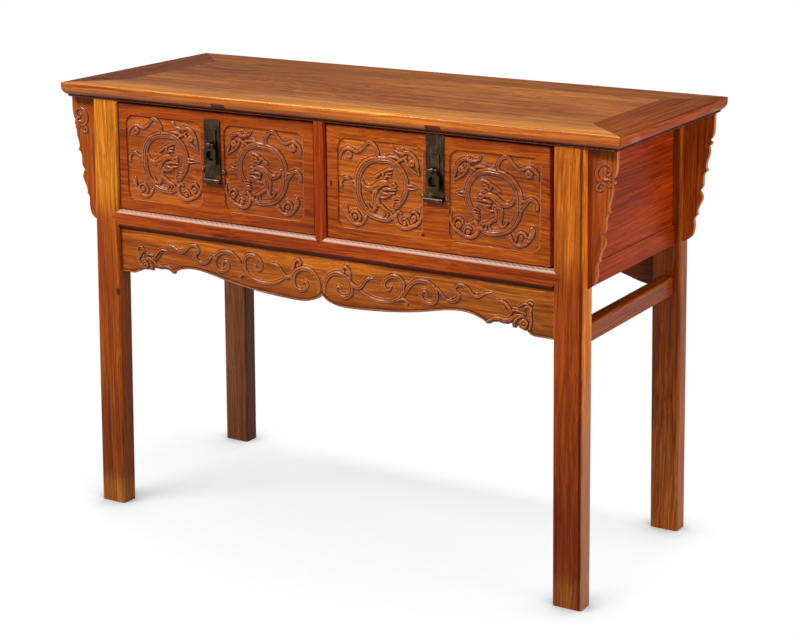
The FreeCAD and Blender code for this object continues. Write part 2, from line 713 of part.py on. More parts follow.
def lock_bolt():
    """Strap with a slot for the staple, and a rolled lip at its foot."""
    x = POST_X - LOCK_X
    half = STRAP_WIDTH / 2
    back = DRAWER_FACE_Y - STRAP_GAP
    left = xz(x - half, STRAP_TOP_Z - STRAP_CORNER)
    right = xz(x + half - STRAP_CORNER, STRAP_TOP_Z)
    strip = outline(xz(x - half, ROLL_Z), left,
                    rounded(left, xz(x - half, STRAP_TOP_Z), xz(x - half + STRAP_CORNER, STRAP_TOP_Z)), right,
                    rounded(right, xz(x + half, STRAP_TOP_Z), xz(x + half, STRAP_TOP_Z - STRAP_CORNER)),
                    xz(x + half, ROLL_Z))
    strap = along_y(strip, back - STRAP_THICK, back)
    slot_half = BOLT_SLOT_WIDTH / 2
    slot = box(x - slot_half, x + slot_half, back - STRAP_THICK, back,
               EYE_Z - BOLT_TRAVEL - slot_half, EYE_Z + slot_half)
    axis = Vec(x - ROLL_LENGTH / 2, back - ROLL_RADIUS, ROLL_Z)
    roll = Part.makeCylinder(ROLL_RADIUS, ROLL_LENGTH, axis, Vec(1, 0, 0))
    bore = Part.makeCylinder(ROLL_BORE, ROLL_LENGTH, axis, Vec(1, 0, 0))
    lip = (ROLL_RADIUS - ROLL_BORE) / 2
    seam = box(x - ROLL_LENGTH, x + ROLL_LENGTH, back - STRAP_THICK - lip, back - STRAP_THICK,
               ROLL_Z, ROLL_Z + ROLL_RADIUS)
    return joined(cut(strap, slot), cut(roll, bore, seam))


def escutcheon():
    x = POST_X - LOCK_X
    wide, thick = ESCUTCHEON_SIZE
    z0, z1 = ESCUTCHEON_Z
    back = DRAWER_FACE_Y - 2 * STRAP_GAP - STRAP_THICK
    rim = ESCUTCHEON_BORDER
    plate = box(x - wide / 2, x + wide / 2, back - thick - ESCUTCHEON_PROUD, back, z0, z1)
    sunk = box(x - wide / 2 + rim, x + wide / 2 - rim, back - thick - ESCUTCHEON_PROUD, back - thick,
               z0 + rim, z1 - rim)
    return cut(plate, sunk)


def eye_axis():
    return Vec(POST_X - LOCK_X, DRAWER_FACE_Y - EYE_OUT, EYE_Z)


def staple():
    """Square shank through the escutcheon and the drawer front, ending in an eye."""
    centre = eye_axis()
    half = SHANK / 2
    shank = box(centre.x - half, centre.x + half, centre.y, DRAWER_FACE_Y + SHANK_DEEP,
                EYE_Z - half, EYE_Z + half)
    end = centre - Vec(half, 0, 0)
    eye = Part.makeCylinder(EYE_RADIUS, SHANK, end, Vec(1, 0, 0))
    bore = Part.makeCylinder(EYE_BORE, SHANK, end, Vec(1, 0, 0))
    return cut(joined(shank, eye), bore)


def drop_pull():
    """House-shaped pull with an arched window, hung by a bar through the staple's eye."""
    centre = eye_axis()
    foot, shoulder, neck = PULL_Z

    def at(x, z):
        return xz(centre.x + x, z)

    plate = outline(at(-PULL_HALF, foot), at(PULL_HALF, foot), at(PULL_HALF, shoulder),
                    at(PULL_NECK_HALF, neck), at(PULL_NECK_HALF, EYE_Z), at(PULL_NOTCH_HALF, EYE_Z),
                    at(PULL_NOTCH_HALF, PULL_NOTCH_Z), at(-PULL_NOTCH_HALF, PULL_NOTCH_Z),
                    at(-PULL_NOTCH_HALF, EYE_Z), at(-PULL_NECK_HALF, EYE_Z),
                    at(-PULL_NECK_HALF, neck), at(-PULL_HALF, shoulder))
    sill, spring = WINDOW_Z
    window = outline(at(-WINDOW_HALF, sill), at(WINDOW_HALF, sill), at(WINDOW_HALF, spring),
                     (at(0, spring + WINDOW_HALF), at(-WINDOW_HALF, spring)))
    y0 = centre.y - PULL_THICK / 2
    y1 = centre.y + PULL_THICK / 2
    bar = Part.makeCylinder(PULL_BAR, 2 * PULL_NECK_HALF, centre - Vec(PULL_NECK_HALF, 0, 0), Vec(1, 0, 0))
    return joined(cut(along_y(plate, y0, y1), along_y(window, y0, y1)), bar)


def guide_nail(side):
    """Nail beside the strap: a filed dome of flat facets, and a square shank in the drawer front."""
    x = POST_X - LOCK_X + side * NAIL_X
    turns = [math.tau * step / NAIL_SIDES for step in range(NAIL_SIDES + 1)]
    rings = [[Vec(x + radius * math.cos(turn), DRAWER_FACE_Y - rise, NAIL_Z + radius * math.sin(turn))
              for turn in turns] for radius, rise in NAIL_DOME]
    corners = [rings[0], rings[-1]]
    for low, high in zip(rings, rings[1:]):
        for step in range(NAIL_SIDES):
            corners.append([low[step], low[step + 1], high[step + 1], high[step], low[step]])
    facets = [Part.Face(Part.makePolygon(ring)) for ring in corners]
    head = Part.Solid(Part.makeShell(facets))
    square, length = NAIL_SHANK
    half = square / 2
    shank = box(x - half, x + half, DRAWER_FACE_Y - LAP, DRAWER_FACE_Y + length, NAIL_Z - half, NAIL_Z + half)
    return joined(head, shank)


# Assembly: every mortise, groove and notch is cut by the piece that fills it

def carcase():
    rail = front_rail()
    back_rail = rear_rail()
    post = centre_post()
    back_post = rear_post()
    aprons = {"front_apron": front_apron(), "rear_apron": rear_apron()}
    runners = {"left_runner": left_runner(), "centre_runner": centre_runner()}
    runners["right_runner"] = mirror_x(runners["left_runner"], POST_X)
    left = {"rail": side_rail(), "stretcher": stretcher(), "side_panel": side_panel()}
    corners = spandrels()
    backs = back_panels()
    panel = top_panel()
    battens = {"top_batten_left": batten(BATTEN_X[0]), "top_batten_right": batten(BATTEN_X[1])}

    sides = list(left.values())
    front_leg = cut(leg_blank(), nose_space(), rail, *sides)
    rear_leg = cut(mirror_y(leg_blank()), back_rail, backs["back_panel_left"], *sides)
    left["rail"] = cut(left["rail"], left["side_panel"])
    rail = cut(rail, post_nose_space(), post, aprons["front_apron"], *runners.values())
    back_rail = cut(back_rail, back_post, aprons["rear_apron"], *runners.values(), *backs.values())
    back_post = cut(back_post, *backs.values())

    legs = {}
    for place, blank in (("front_left", front_leg), ("front_right", mirror_x(front_leg)),
                         ("rear_left", rear_leg), ("rear_right", mirror_x(rear_leg))):
        board = aprons[place.split("_")[0] + "_apron"]
        legs["leg_" + place] = cut(blank, board, corners["spandrel_" + place])
    both_panels = [left["side_panel"], mirror_x(left["side_panel"])]
    under_top = [*legs.values(), post, back_post, panel, *battens.values(), *backs.values(), *both_panels]
    pocket = bolt_pocket()
    long_front = top_rail()
    end = top_end()
    long_rails = [long_front, mirror_y(long_front)]
    left_end = cut(end, *long_rails, *under_top)

    pieces = {"top_front_rail": cut(long_front, pocket, mirror_x(pocket, POST_X), *under_top),
              "top_rear_rail": cut(mirror_y(long_front), *under_top),
              "top_left_end": left_end, "top_right_end": mirror_x(left_end),
              "top_panel": cut(panel, *battens.values())}
    pieces.update(battens)
    pieces.update(legs)
    pieces.update({"front_rail": rail, "rear_rail": back_rail, "centre_post": post, "rear_post": back_post})
    pieces.update({"left_side_rail": left["rail"], "right_side_rail": mirror_x(left["rail"])})
    pieces.update({"left_stretcher": left["stretcher"], "right_stretcher": mirror_x(left["stretcher"])})
    pieces.update({"left_side_panel": both_panels[0], "right_side_panel": both_panels[1]})
    pieces.update(backs)
    pieces.update(aprons)
    pieces.update(corners)
    pieces.update(runners)
    return pieces


def left_drawer():
    pieces = {"front": drawer_front(),
              "outer_side": drawer_side(OUTER_SIDE - DRAWER_SIDE_THICK, OUTER_SIDE),
              "inner_side": drawer_side(INNER_SIDE, INNER_SIDE + DRAWER_SIDE_THICK),
              "back": drawer_back(), "bottom": drawer_bottom(),
              "staple": staple(), "escutcheon": escutcheon(),
              "guide_nails": Part.makeCompound([guide_nail(-1), guide_nail(1)])}
    sides = [pieces["outer_side"], pieces["inner_side"]]
    pieces["front"] = cut(pieces["front"], *sides, pieces["bottom"], pieces["staple"], pieces["guide_nails"])
    for name in ("outer_side", "inner_side"):
        pieces[name] = cut(pieces[name], pieces["bottom"], pieces["back"])
    pieces["escutcheon"] = cut(pieces["escutcheon"], pieces["staple"])
    pieces["bolt"] = lock_bolt()
    pieces["drop_pull"] = drop_pull()
    return pieces


def main():
    os.makedirs("parts", exist_ok=True)
    nodes = carcase()
    for name, shape in left_drawer().items():
        right = mirror_x(shape, POST_X)
        if name == "bolt":
            right.translate(Vec(0, 0, BOLT_TRAVEL))
        kind = "drawer" if name in ("front", "outer_side", "inner_side", "back", "bottom") else "lock"
        nodes[f"left_{kind}_{name}"] = shape
        nodes[f"right_{kind}_{name}"] = right
    for name, shape in nodes.items():
        shape.exportStep(f"parts/{name}.step")
    print(len(nodes), "nodes")


if __name__ == "__main__":
    main()
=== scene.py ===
"""Two-drawer coffer in rosewood: finishes, carving, lock studs and stage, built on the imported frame."""

import math
from collections import namedtuple

import bpy
import numpy as np
from mathutils import Matrix, Vector


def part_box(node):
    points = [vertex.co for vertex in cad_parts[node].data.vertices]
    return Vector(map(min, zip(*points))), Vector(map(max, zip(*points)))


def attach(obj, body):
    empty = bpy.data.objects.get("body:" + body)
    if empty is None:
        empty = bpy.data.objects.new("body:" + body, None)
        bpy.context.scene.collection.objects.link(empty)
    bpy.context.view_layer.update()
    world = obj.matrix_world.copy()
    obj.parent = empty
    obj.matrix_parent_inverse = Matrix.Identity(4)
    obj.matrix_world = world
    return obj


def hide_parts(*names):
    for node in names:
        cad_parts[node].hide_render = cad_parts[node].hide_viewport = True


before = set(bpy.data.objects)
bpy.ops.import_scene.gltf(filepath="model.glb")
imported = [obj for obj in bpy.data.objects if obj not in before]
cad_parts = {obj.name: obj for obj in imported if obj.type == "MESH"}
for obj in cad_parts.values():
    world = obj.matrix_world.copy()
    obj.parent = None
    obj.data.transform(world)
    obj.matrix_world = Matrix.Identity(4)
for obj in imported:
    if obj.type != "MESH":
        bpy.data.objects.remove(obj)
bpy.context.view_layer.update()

bl_info = {
    "name": "Two-drawer coffer",
    "version": (1, 0, 0),
    "blender": (4, 5, 0),
    "location": "3D View > Sidebar > Coffer",
    "description": "Dresses a two-drawer rosewood coffer with grain, carving, metalwork and a stage",
    "category": "Object",
}

MM = 0.001
SIDES = ("left", "right")

# The middle of the drawers and the apron, and the planes that carry the carving, in millimetres
MIDDLE = -3.5
CARTOUCHE_FLOOR = -216.1
DRAWER_FACE = -218.6
APRON_FACE = -218.6
CURL_MIDDLES = {"left": -527.7, "right": 516.7}
CARTOUCHE_MIDDLES = {"left": (-359.1, -128.9), "right": (121.9, 352.1)}
CARTOUCHE_HEIGHT = 714.8
CARTOUCHE_HALF = (88.5, 82.0)
LOCK_MIDDLES = {"left": -242.5, "right": 235.5}
STUD_SPREAD = 23.9
STUD_HEIGHT = 708.5

# A pale bead along the cartouche's lower and right edges, a painted highlight: its radius, how far it is let
# in, and its rounded corner as steps inward
RIM_RADIUS = 0.7
RIM_INSET = 0.45
RIM_CORNER = 11.5
RIM_STEPS = ((9, 2.5), (5.1, 5.1), (2.5, 9))

# Carved fields: left, right, foot, head, and the margin of ground that is kept round the lines
ROUNDEL_FIELD = (-89, 89, -82.5, 82.5, 3.5)
APRON_FIELD = (1, 440, 496, 566, 3.0)
SPANDREL_FIELD = (18, 57, 742, 806, 2.5)

# How much fuller the roundel's lines are carved than they are listed
SCROLL_FULLNESS = 1.12
HEAD_FULLNESS = 1.25
LIMB_FULLNESS = 1.1

# Cut grooves as depth and half width, the spacing of their points, and those left off at each end
DEEP_GROOVE = (1.3, 0.9)
FINE_GROOVE = (1.2, 0.9)
GROOVE_STEP = 4.0
GROOVE_TRIM = slice(3, -3)

# Swept lines: the spacing of their points, the share of the bead that stands proud, and the dark lines of
# painted shade above the bead and along the spandrels' incised line
SWEPT_STEP = 2.0
BEAD_PROUD = 0.8
SHADE_LINE_RADIUS = 1.0
SHADE_LINE_GAP = 0.9
CUT_RADIUS = 0.6
CUT_INSET = 0.4

# Levels that the stains use, in metres: the drawers' face, the top's upper face and the half of its panel
FACE_DEPTHS = (-0.2180, -0.2172)
TOP_FACE = (0.8465, 0.8490)
PANEL_HALF = (0.499, 0.142)

# Dark waxy dirt and painted shade for the hollows and corners, tarnish on the metal and old staining in the
# lining
WAX_AND_SHADE = (0.026, 0.006, 0.002)
TARNISH = (0.075, 0.050, 0.026)
LINING_STAIN = (0.110, 0.040, 0.012)

# Turns that lay the grain along each direction of the coffer, and the direction of each lining
GRAIN_TURN = {"X": (0.0, 0.0, 0.0), "Y": (0.0, 0.0, -math.pi / 2), "Z": (0.0, math.pi / 2, 0.0)}
LINING_GRAIN = {"up": "Z", "across": "X", "deep": "Y"}

# Lamps as place, aim, width and height, and the half width of the floor
KEY_LAMP = ((-2.10, -2.90, 4.20), (0.0, -0.2, 0.6), 2.4, 0.9)
SIDE_LAMP = ((2.5, -0.55, 1.25), (0.3, 0.0, 0.5), 1.0, 1.0)
FLOOR_REACH = 14.0
SENSOR_WIDTH = 36.0

# Carved lines are rows of across, up and half width, in millimetres.
# The roundel's own middle is the origin, and its coiled body comes first.
ROUNDEL_COIL = [
    (34, -33, 4.5), (44, -21, 5), (52, -7, 5), (54.5, 8, 5), (51, 23, 5), (43, 36, 5), (31, 46, 5.5),
    (16, 50.5, 6.5), (0, 50, 6.5), (-14, 48, 6), (-29, 41, 6.5), (-40, 29, 7), (-46, 14, 7), (-47, -3, 7),
    (-46, -18, 6.5), (-40, -33, 6), (-30, -45, 6), (-16, -53, 6), (0, -56.5, 5.5), (14, -57, 5),
    (26, -52, 4), (34, -44, 3),
]
ROUNDEL_MANE = [
    [(46, 51, 1.6), (38, 55.5, 2.8), (30, 57, 3), (20, 57, 3), (13, 54.5, 2.6), (7, 52.5, 2.4), (-1, 53, 2)],
    [(-13, 51.5, 2), (-20, 50, 2.6), (-26, 46.5, 2.2)],
    [(-28, 47, 2), (-34, 43, 2.6), (-39, 37, 2)],
]
ROUNDEL_HEAD = [
    [(-38, 9, 2.2), (-35, 1, 2.8), (-27, -4.5, 3.6), (-18, -5, 4.6), (-9, -1, 5.4), (-2, 4, 5.6), (5, 7.5, 5),
     (12, 9, 4.2), (17, 7, 2.6)],
    [(-9, -8, 4.6), (-12, -18, 4.4), (-11, -29, 4.2), (-10, -38, 3.6), (-14, -44, 3)],
    [(-2, -15, 3.2), (-5, -24, 3.4), (-3, -31, 3.2), (4, -35, 3), (10, -39.5, 2.6), (16, -42, 2.2)],
]
ROUNDEL_LIMBS = [
    [(33, 5, 2), (29, 8.5, 2.6), (22, 6.5, 2.8), (24, 2.5, 2.2), (31, 2.5, 2)],
    [(32.5, -2, 1.8), (23, -1.5, 2.6), (15, -1.5, 2.8), (7, -3.5, 2.4)],
    [(30.5, -8, 1.6), (23, -9, 2.4), (16, -11, 2.6), (9, -9.5, 2.4)],
    [(21, -13.5, 1.6), (16, -15, 2), (8, -18, 2.2), (-1, -17.5, 2)],
    [(26, 35, 1.4), (18, 33, 2.4), (11, 30.5, 2.8), (7, 26, 2.6), (8, 20, 2)],
    [(24, 27, 1.4), (18, 26.5, 2), (13.5, 24.5, 1.8)],
    [(21, 20.5, 2), (14, 21, 2.4), (11, 17, 2)],
    [(4, 27.5, 1.8), (-2, 23, 2.4), (-9, 18, 2.8)],
    [(43, -20, 1.2), (37, -17.5, 1.5), (30, -19.5, 1.2)],
    [(42, -25, 1.2), (36, -22.5, 1.5), (30, -24.5, 1.2)],
    [(40, -30, 1.2), (34, -27.5, 1.5), (29, -29.5, 1.2)],
    [(38, -35, 1.2), (33, -32.5, 1.5), (29, -35, 1.2)],
    [(-11, -43, 2.2), (-19, -43, 2.2), (-26, -33, 1.4)],
    [(16, -42, 1.8), (21, -43, 1.8), (23.5, -48, 1.4)],
    [(13, -43, 1.6), (16.5, -48, 1.8), (14, -52, 1.4)],
    [(9, -42, 1.6), (10, -48, 1.8), (7, -54, 1.4)],
]
ROUNDEL_SCROLLS = [
    [(-6, 49, 4), (-5, 56, 3.4), (-5, 63, 3.2), (-9, 71, 3.2), (-16, 77.5, 3.4), (-23, 78.8, 3.4),
     (-28, 75, 3), (-34, 68, 2.6), (-41, 62, 2.6), (-48, 58.5, 2.8), (-55, 61, 3), (-62, 63.5, 3.2),
     (-69, 63.5, 3.2), (-77, 59, 3), (-82, 52, 2.6), (-83, 43, 1.4)],
    [(24, 77, 0.8), (30, 69, 1.8), (39, 65.5, 2.6), (46, 65.5, 2.8), (52, 66, 2.8)],
    [(50, 68, 2.4), (60, 67, 3), (70, 61, 3.2), (75, 51, 3.2), (78, 40, 2.8), (81, 29, 1.2)],
    [(52, 55, 2.2), (56, 48, 2.6), (62, 40, 2.6), (71, 34, 2.2), (80, 28, 1.2)],
    [(38, 50, 2.6), (46, 54, 2.4), (54, 59, 2.2)],
    [(49.5, 70.5, 1.3), (48.5, 60, 1.5)],
    [(45.5, 70, 1.2), (44.5, 61, 1.3)],
    [(57, 9, 2.6), (68, 8.8, 1.8), (78, 6, 0.8)],
    [(57, 3, 2.4), (66, 3.2, 1.6), (76, 5, 0.8)],
    [(-45, -27, 4), (-48, -16, 3.6), (-52, -8, 3.4), (-58, -1, 3.2), (-63, 6, 3.2), (-70, 10, 3.2),
     (-77, 8, 3), (-82, 1, 2.6), (-82, -6, 3.2)],
    [(-50, -1, 2), (-53, 5, 2.6), (-59, 4.5, 2.2)],
    [(-30, -58, 3), (-36, -68, 3), (-45, -73, 3.2), (-54, -72, 3.4), (-63, -66, 3.8), (-70, -56, 4.4),
     (-73, -48, 5), (-72, -41, 3.4)],
    [(-42, -64, 2.2), (-44, -55, 2.6), (-51, -49.5, 2.6), (-59, -52, 2.6), (-61.5, -59, 2.4),
     (-57, -65.5, 2)],
    [(84, -26, 1), (86.5, -37, 2.4), (84, -48, 3), (78, -57, 3.2), (68, -63.5, 3.4), (57, -68, 3.6),
     (46, -69, 3.8), (37, -64, 3.8), (32, -55, 3.6), (32, -46, 3.2), (38, -40.5, 3), (44, -43, 2.2)],
    [(79, -49, 1.8), (77.5, -42, 2.2), (71, -37.5, 2.4), (64, -39.5, 2.2), (62, -46, 1.8)],
    [(59.5, -63, 1.6), (57, -55.5, 2), (51, -52, 2.2), (45, -54.5, 2)],
]
# Buttons of the small scrolls: across, up, radius of the ring and its half width
ROUNDEL_EYES = [(-65, 52.5, 4.1, 3.7), (65.5, 49, 3.6, 3.2), (-52.5, -58.5, 2.5, 2.6), (70, -49.5, 3.2, 2.9),
                (51, -60, 2.3, 2.4)]
# Grooves along the coil, as shares of its half width, and along the other broad bands
COIL_GROOVES = (0.12, -0.50)
ROUNDEL_GROOVES = [
    [(-5, 53), (-5, 63), (-9, 71), (-16, 77.5), (-23, 78.8), (-28, 75), (-34, 68)],
    [(54, 67.5), (60, 66.5), (69.5, 60.5), (74.5, 50.5), (78, 40)],
    [(-47, -20), (-51, -9), (-57, -2), (-62.5, 5.5), (-70, 10), (-77, 8)],
    [(-10, -12), (-11.5, -20), (-11, -32)],
    [(-30, -4.8), (-18, -5.6), (-9, -2), (-2, 3)],
]

# The apron's scroll from its middle to its right end: across from the middle, up from the floor, half width
APRON_LINES = [
    [(5.5, 505, 2.6), (6, 519, 3.2), (11, 532, 3.6), (21, 542, 4), (35, 545.5, 4.4), (49, 542.5, 4.8),
     (60, 534, 5.2), (64, 521, 5.2), (61, 509, 4.6), (52, 503, 4), (42, 503.5, 3.4), (34, 509, 3),
     (31.5, 515, 2.8), (35.5, 520.5, 2.6), (41, 518.5, 2.4)],
    [(48, 550, 2.4), (46.5, 556, 2.8), (51, 560.5, 3), (57, 557.5, 3), (61, 550, 3), (62, 541, 2.6)],
    [(62, 534, 3), (70, 527, 4), (79, 524.5, 4.2), (86.5, 530, 4), (92, 538, 3.6), (100, 544.5, 3),
     (110, 546, 1.2)],
    [(83, 520, 1.4), (93, 515, 2.4), (105, 509.5, 3), (119, 506.5, 3.2), (134, 506, 3.2), (149, 508.5, 3.2),
     (162, 514, 3.4), (171, 520.5, 3.6), (178, 529, 3.6), (185, 540, 3.6), (193, 548, 3.8), (203, 553.5, 4.2),
     (215, 555, 4.6), (227, 552.5, 4.8), (237, 545.5, 4.8), (242, 535, 4.6), (241, 524, 4.2), (233, 516, 3.6),
     (222, 516.5, 3.2), (213, 521.5, 3), (210, 530, 2.8), (215, 536, 2.6), (222, 534.5, 2.4), (223, 528, 2)],
    [(166, 519, 3), (172, 527, 3.6), (174, 538, 4), (171, 549, 4.4), (162, 555.5, 4.6), (151, 555.5, 4.4),
     (141, 551, 4), (134.5, 543.5, 3.4), (134, 535, 3), (139, 529, 2.8), (146, 530, 2.6), (148.5, 536, 2.4)],
    [(161, 511.5, 2.2), (169, 516, 2.8), (177, 516, 2.8), (183, 511, 2.4), (181, 506.5, 1.6)],
    [(243, 546, 2), (250, 540, 2.6), (257, 532, 3), (266, 527, 3.4), (277, 527, 3.8), (286, 532.5, 3.8),
     (287.5, 540, 3.4), (281.5, 545, 3), (279.5, 551, 2.8), (285, 557, 3.2), (297, 557.5, 3.6),
     (306, 552, 3.8), (313, 545, 3.8), (322, 541.5, 3.4), (331, 544.5, 2.8), (341, 550, 2),
     (353, 552.5, 0.8)],
    [(346, 500.5, 2.4), (355, 506.5, 3.2), (367, 508.5, 3.6), (380, 507, 3.6), (389, 509.5, 3.4),
     (396, 515, 3), (404, 519.5, 2.6), (414, 521, 2)],
    [(365, 539.5, 1.2), (373, 540, 2.6), (381, 536.5, 3.4), (387, 530, 3.4), (392, 523, 3)],
    [(372, 537, 1), (379, 530, 1.8), (384, 524, 2), (390, 519, 2)],
    [(398.5, 498.5, 1.4), (398.5, 506, 2.4), (402, 512.5, 2.4), (409, 517, 2.2), (417, 517.5, 1.6)],
    [(395, 526.5, 2), (403, 527.5, 2.4), (412, 526, 2.4), (419, 523.5, 2)],
    [(407, 535, 1.4), (413, 540, 2.4), (420, 542, 2.6), (426, 539, 2.6), (429.5, 533, 2.8), (429, 524, 2.8),
     (430, 513, 2.6), (429, 503, 2.6), (427.5, 496, 2.2)],
    [(417, 531, 1.6), (420, 536, 2.2), (426, 536, 2)],
    [(423, 542, 2), (429, 545, 2.2), (432, 541, 1.6)],
]
# The leaf's eye: across, up, radius of its ring and the ring's half width, and the button's half width in it
APRON_EYE = (416.5, 506, 6.2, 2.6)
APRON_PUPIL = 3.0
# The lines with a groove along them, where the leaf at each end starts, how far it is moved out there,
# and how thin a moved one is
APRON_GROOVED = (0, 2, 3, 4, 6, 7)
LEAF_START = 340
LEAF_SHIFTS = {"left": -6.5, "right": 0.0}
LEAF_THINNING = 0.8
LEFT_STALK = [(426, 533, 1.4), (424.5, 537, 1.8), (420.5, 540.5, 2), (415.5, 540, 2), (412.5, 535.5, 2),
              (415.2, 529, 2), (420.5, 523, 2), (423.7, 516, 2), (422.5, 509, 2), (419, 503, 1.8)]
STALK_ROWS = (12, 14)

# The apron's lower edge, which carries a bead: between these ends, out from the middle
APRON_EDGE = [
    (0, 501), (7, 494.5), (16, 489.3), (35, 484.3), (65, 483.4), (155, 489.6), (215, 498.6), (258, 507.4),
    (293, 511), (322, 506.8), (345, 496.5),
]
APRON_FOOT = [(426, 490.8), (433.5, 486.8), (440, 486), (474, 485.7)]

# The spandrel's curl: out from the leg's head, up from the floor, half width
SPANDREL_LINES = [
    [(47.7, 782.1, 1.8), (49.5, 788.3, 2.4), (47.4, 794, 2.6), (41.6, 797.2, 2.8), (36, 797.4, 2.8),
     (28, 793.6, 3), (23.3, 786.4, 3.2), (22.3, 779.5, 3.2), (24.5, 772.2, 3.2), (30.3, 766.8, 3),
     (37.7, 763.8, 2.8), (44.3, 760.8, 2.6), (48.3, 760.4, 1.8)],
    [(37.5, 771.3, 1.8), (43, 771.6, 2.4), (48.8, 771.7, 1.8)],
    [(27.2, 763.5, 2.2), (22.9, 757, 2.4), (25, 752.7, 2.4), (30.8, 751.8, 2.2), (34.3, 755.6, 2),
     (29.8, 758.5, 1.6)],
    [(47.7, 782.1, 1.8), (43.4, 779, 2.2), (39, 781, 2.4), (38.6, 785.6, 2)],
]

# The incised line inside the spandrel's lower edge, laid as a dark line of painted shade: out from the leg's
# head, up from the floor
SPANDREL_CUT = [(29, 680), (33.2, 673), (31.4, 662), (27, 651), (24.6, 632), (20.9, 613), (15.7, 596.5),
                (10.8, 585)]


def colour_value(name, text, default):
    """A colour among the settings."""
    return bpy.props.FloatVectorProperty(name=name, description=text, subtype="COLOR", size=3, min=0, max=1,
                                         default=default)


def share_value(name, text, default):
    """A value between none and all among the settings."""
    return bpy.props.FloatProperty(name=name, description=text, subtype="FACTOR", min=0, max=1,
                                   default=default)


def length_value(name, text, millimetres, least=0.0):
    """A length among the settings."""
    return bpy.props.FloatProperty(name=name, description=text, unit="LENGTH", min=least * MM,
                                   default=millimetres * MM)


def angle_value(name, text, degrees):
    """An angle among the settings."""
    return bpy.props.FloatProperty(name=name, description=text, subtype="ANGLE",
                                   default=math.radians(degrees))


def light_value(name, text, default, subtype="NONE"):
    """A lens length, a power or a strength among the settings."""
    return bpy.props.FloatProperty(name=name, description=text, subtype=subtype, min=0, default=default)


class WoodFinish(bpy.types.PropertyGroup):
    """Colours and surface of the rosewood."""

    dark: colour_value("Dark grain", "Colour of the dark veins", (0.185, 0.033, 0.003))
    middle: colour_value("Body", "Main colour of the rosewood", (0.390, 0.088, 0.006))
    light: colour_value("Light grain", "Colour of the pale streaks", (0.600, 0.175, 0.015))
    inside: colour_value("Drawer lining", "Colour of the plain wood inside", (0.420, 0.200, 0.075))
    roughness: share_value("Roughness", "Roughness of the waxed surface", 0.34)
    # Strength of the painted shade that darkens joints and corners by how enclosed they are
    corner_shade: share_value("Grime", "How dark the wax lies in joints and corners", 0.92)
    # How far that painted shade reaches out of a corner
    corner_shade_reach: length_value("Grime reach", "How far out of a corner the wax lies", 2.8)
    edge: length_value("Rubbed edge", "Radius of the edges that hands have rubbed round", 1.3)


class MetalFinish(bpy.types.PropertyGroup):
    """Colours and surface of the lock plates."""

    aged: colour_value("Patina", "Colour of the aged metal", (0.036, 0.020, 0.011))
    worn: colour_value("Worn metal", "Colour where hands have rubbed it", (0.170, 0.100, 0.055))
    studs: colour_value("Studs", "Colour of the domed studs", (0.130, 0.075, 0.036))
    roughness: share_value("Roughness", "Roughness of the metal", 0.42)


class CarvingSizes(bpy.types.PropertyGroup):
    """Depths of the carving and sizes of its trim."""

    step: length_value("Fineness", "Spacing of the carved surface's points", 0.7, 0.4)
    coil_height: length_value("Coil height", "Height of the dragon's coiled body", 4.0)
    scroll_height: length_value("Scroll height", "Height of the roundels' scrolls", 3.4)
    apron_height: length_value("Apron height", "Height of the apron's scroll", 3.6)
    spandrel_height: length_value("Spandrel height", "Height of the spandrels' curl", 1.8)
    bead_radius: length_value("Bead radius", "Radius of the bead on the apron's edge", 1.9)
    stud_radius: length_value("Stud radius", "Radius of the domed guide studs", 4.5)
    stud_rise: length_value("Stud rise", "Rise of the domed guide studs", 3.7)


class StageSetup(bpy.types.PropertyGroup):
    """Camera, light and floor."""

    place: bpy.props.FloatVectorProperty(
        name="Camera place", description="Where the camera stands", subtype="TRANSLATION", size=3,
        default=(1.84099, -2.9999, 1.406303))
    azimuth: angle_value("Azimuth", "Turn of the camera from the front", 31.104)
    elevation: angle_value("Elevation", "How far the camera looks down", 15.975)
    roll: angle_value("Roll", "Tilt of the camera about its view", -0.26)
    lens: light_value("Lens", "Focal length in millimetres on a 36 mm frame", 84.73)
    key: light_value("Key light", "Power of the large lamp at the upper left", 330.0, "POWER")
    fill: light_value("Side light", "Power of the lamp at the right", 32.0, "POWER")
    sky: light_value("Room light", "Strength of the light from all round", 0.20)
    floor_lift: share_value("Floor white", "White added to the floor as it is seen", 0.82)


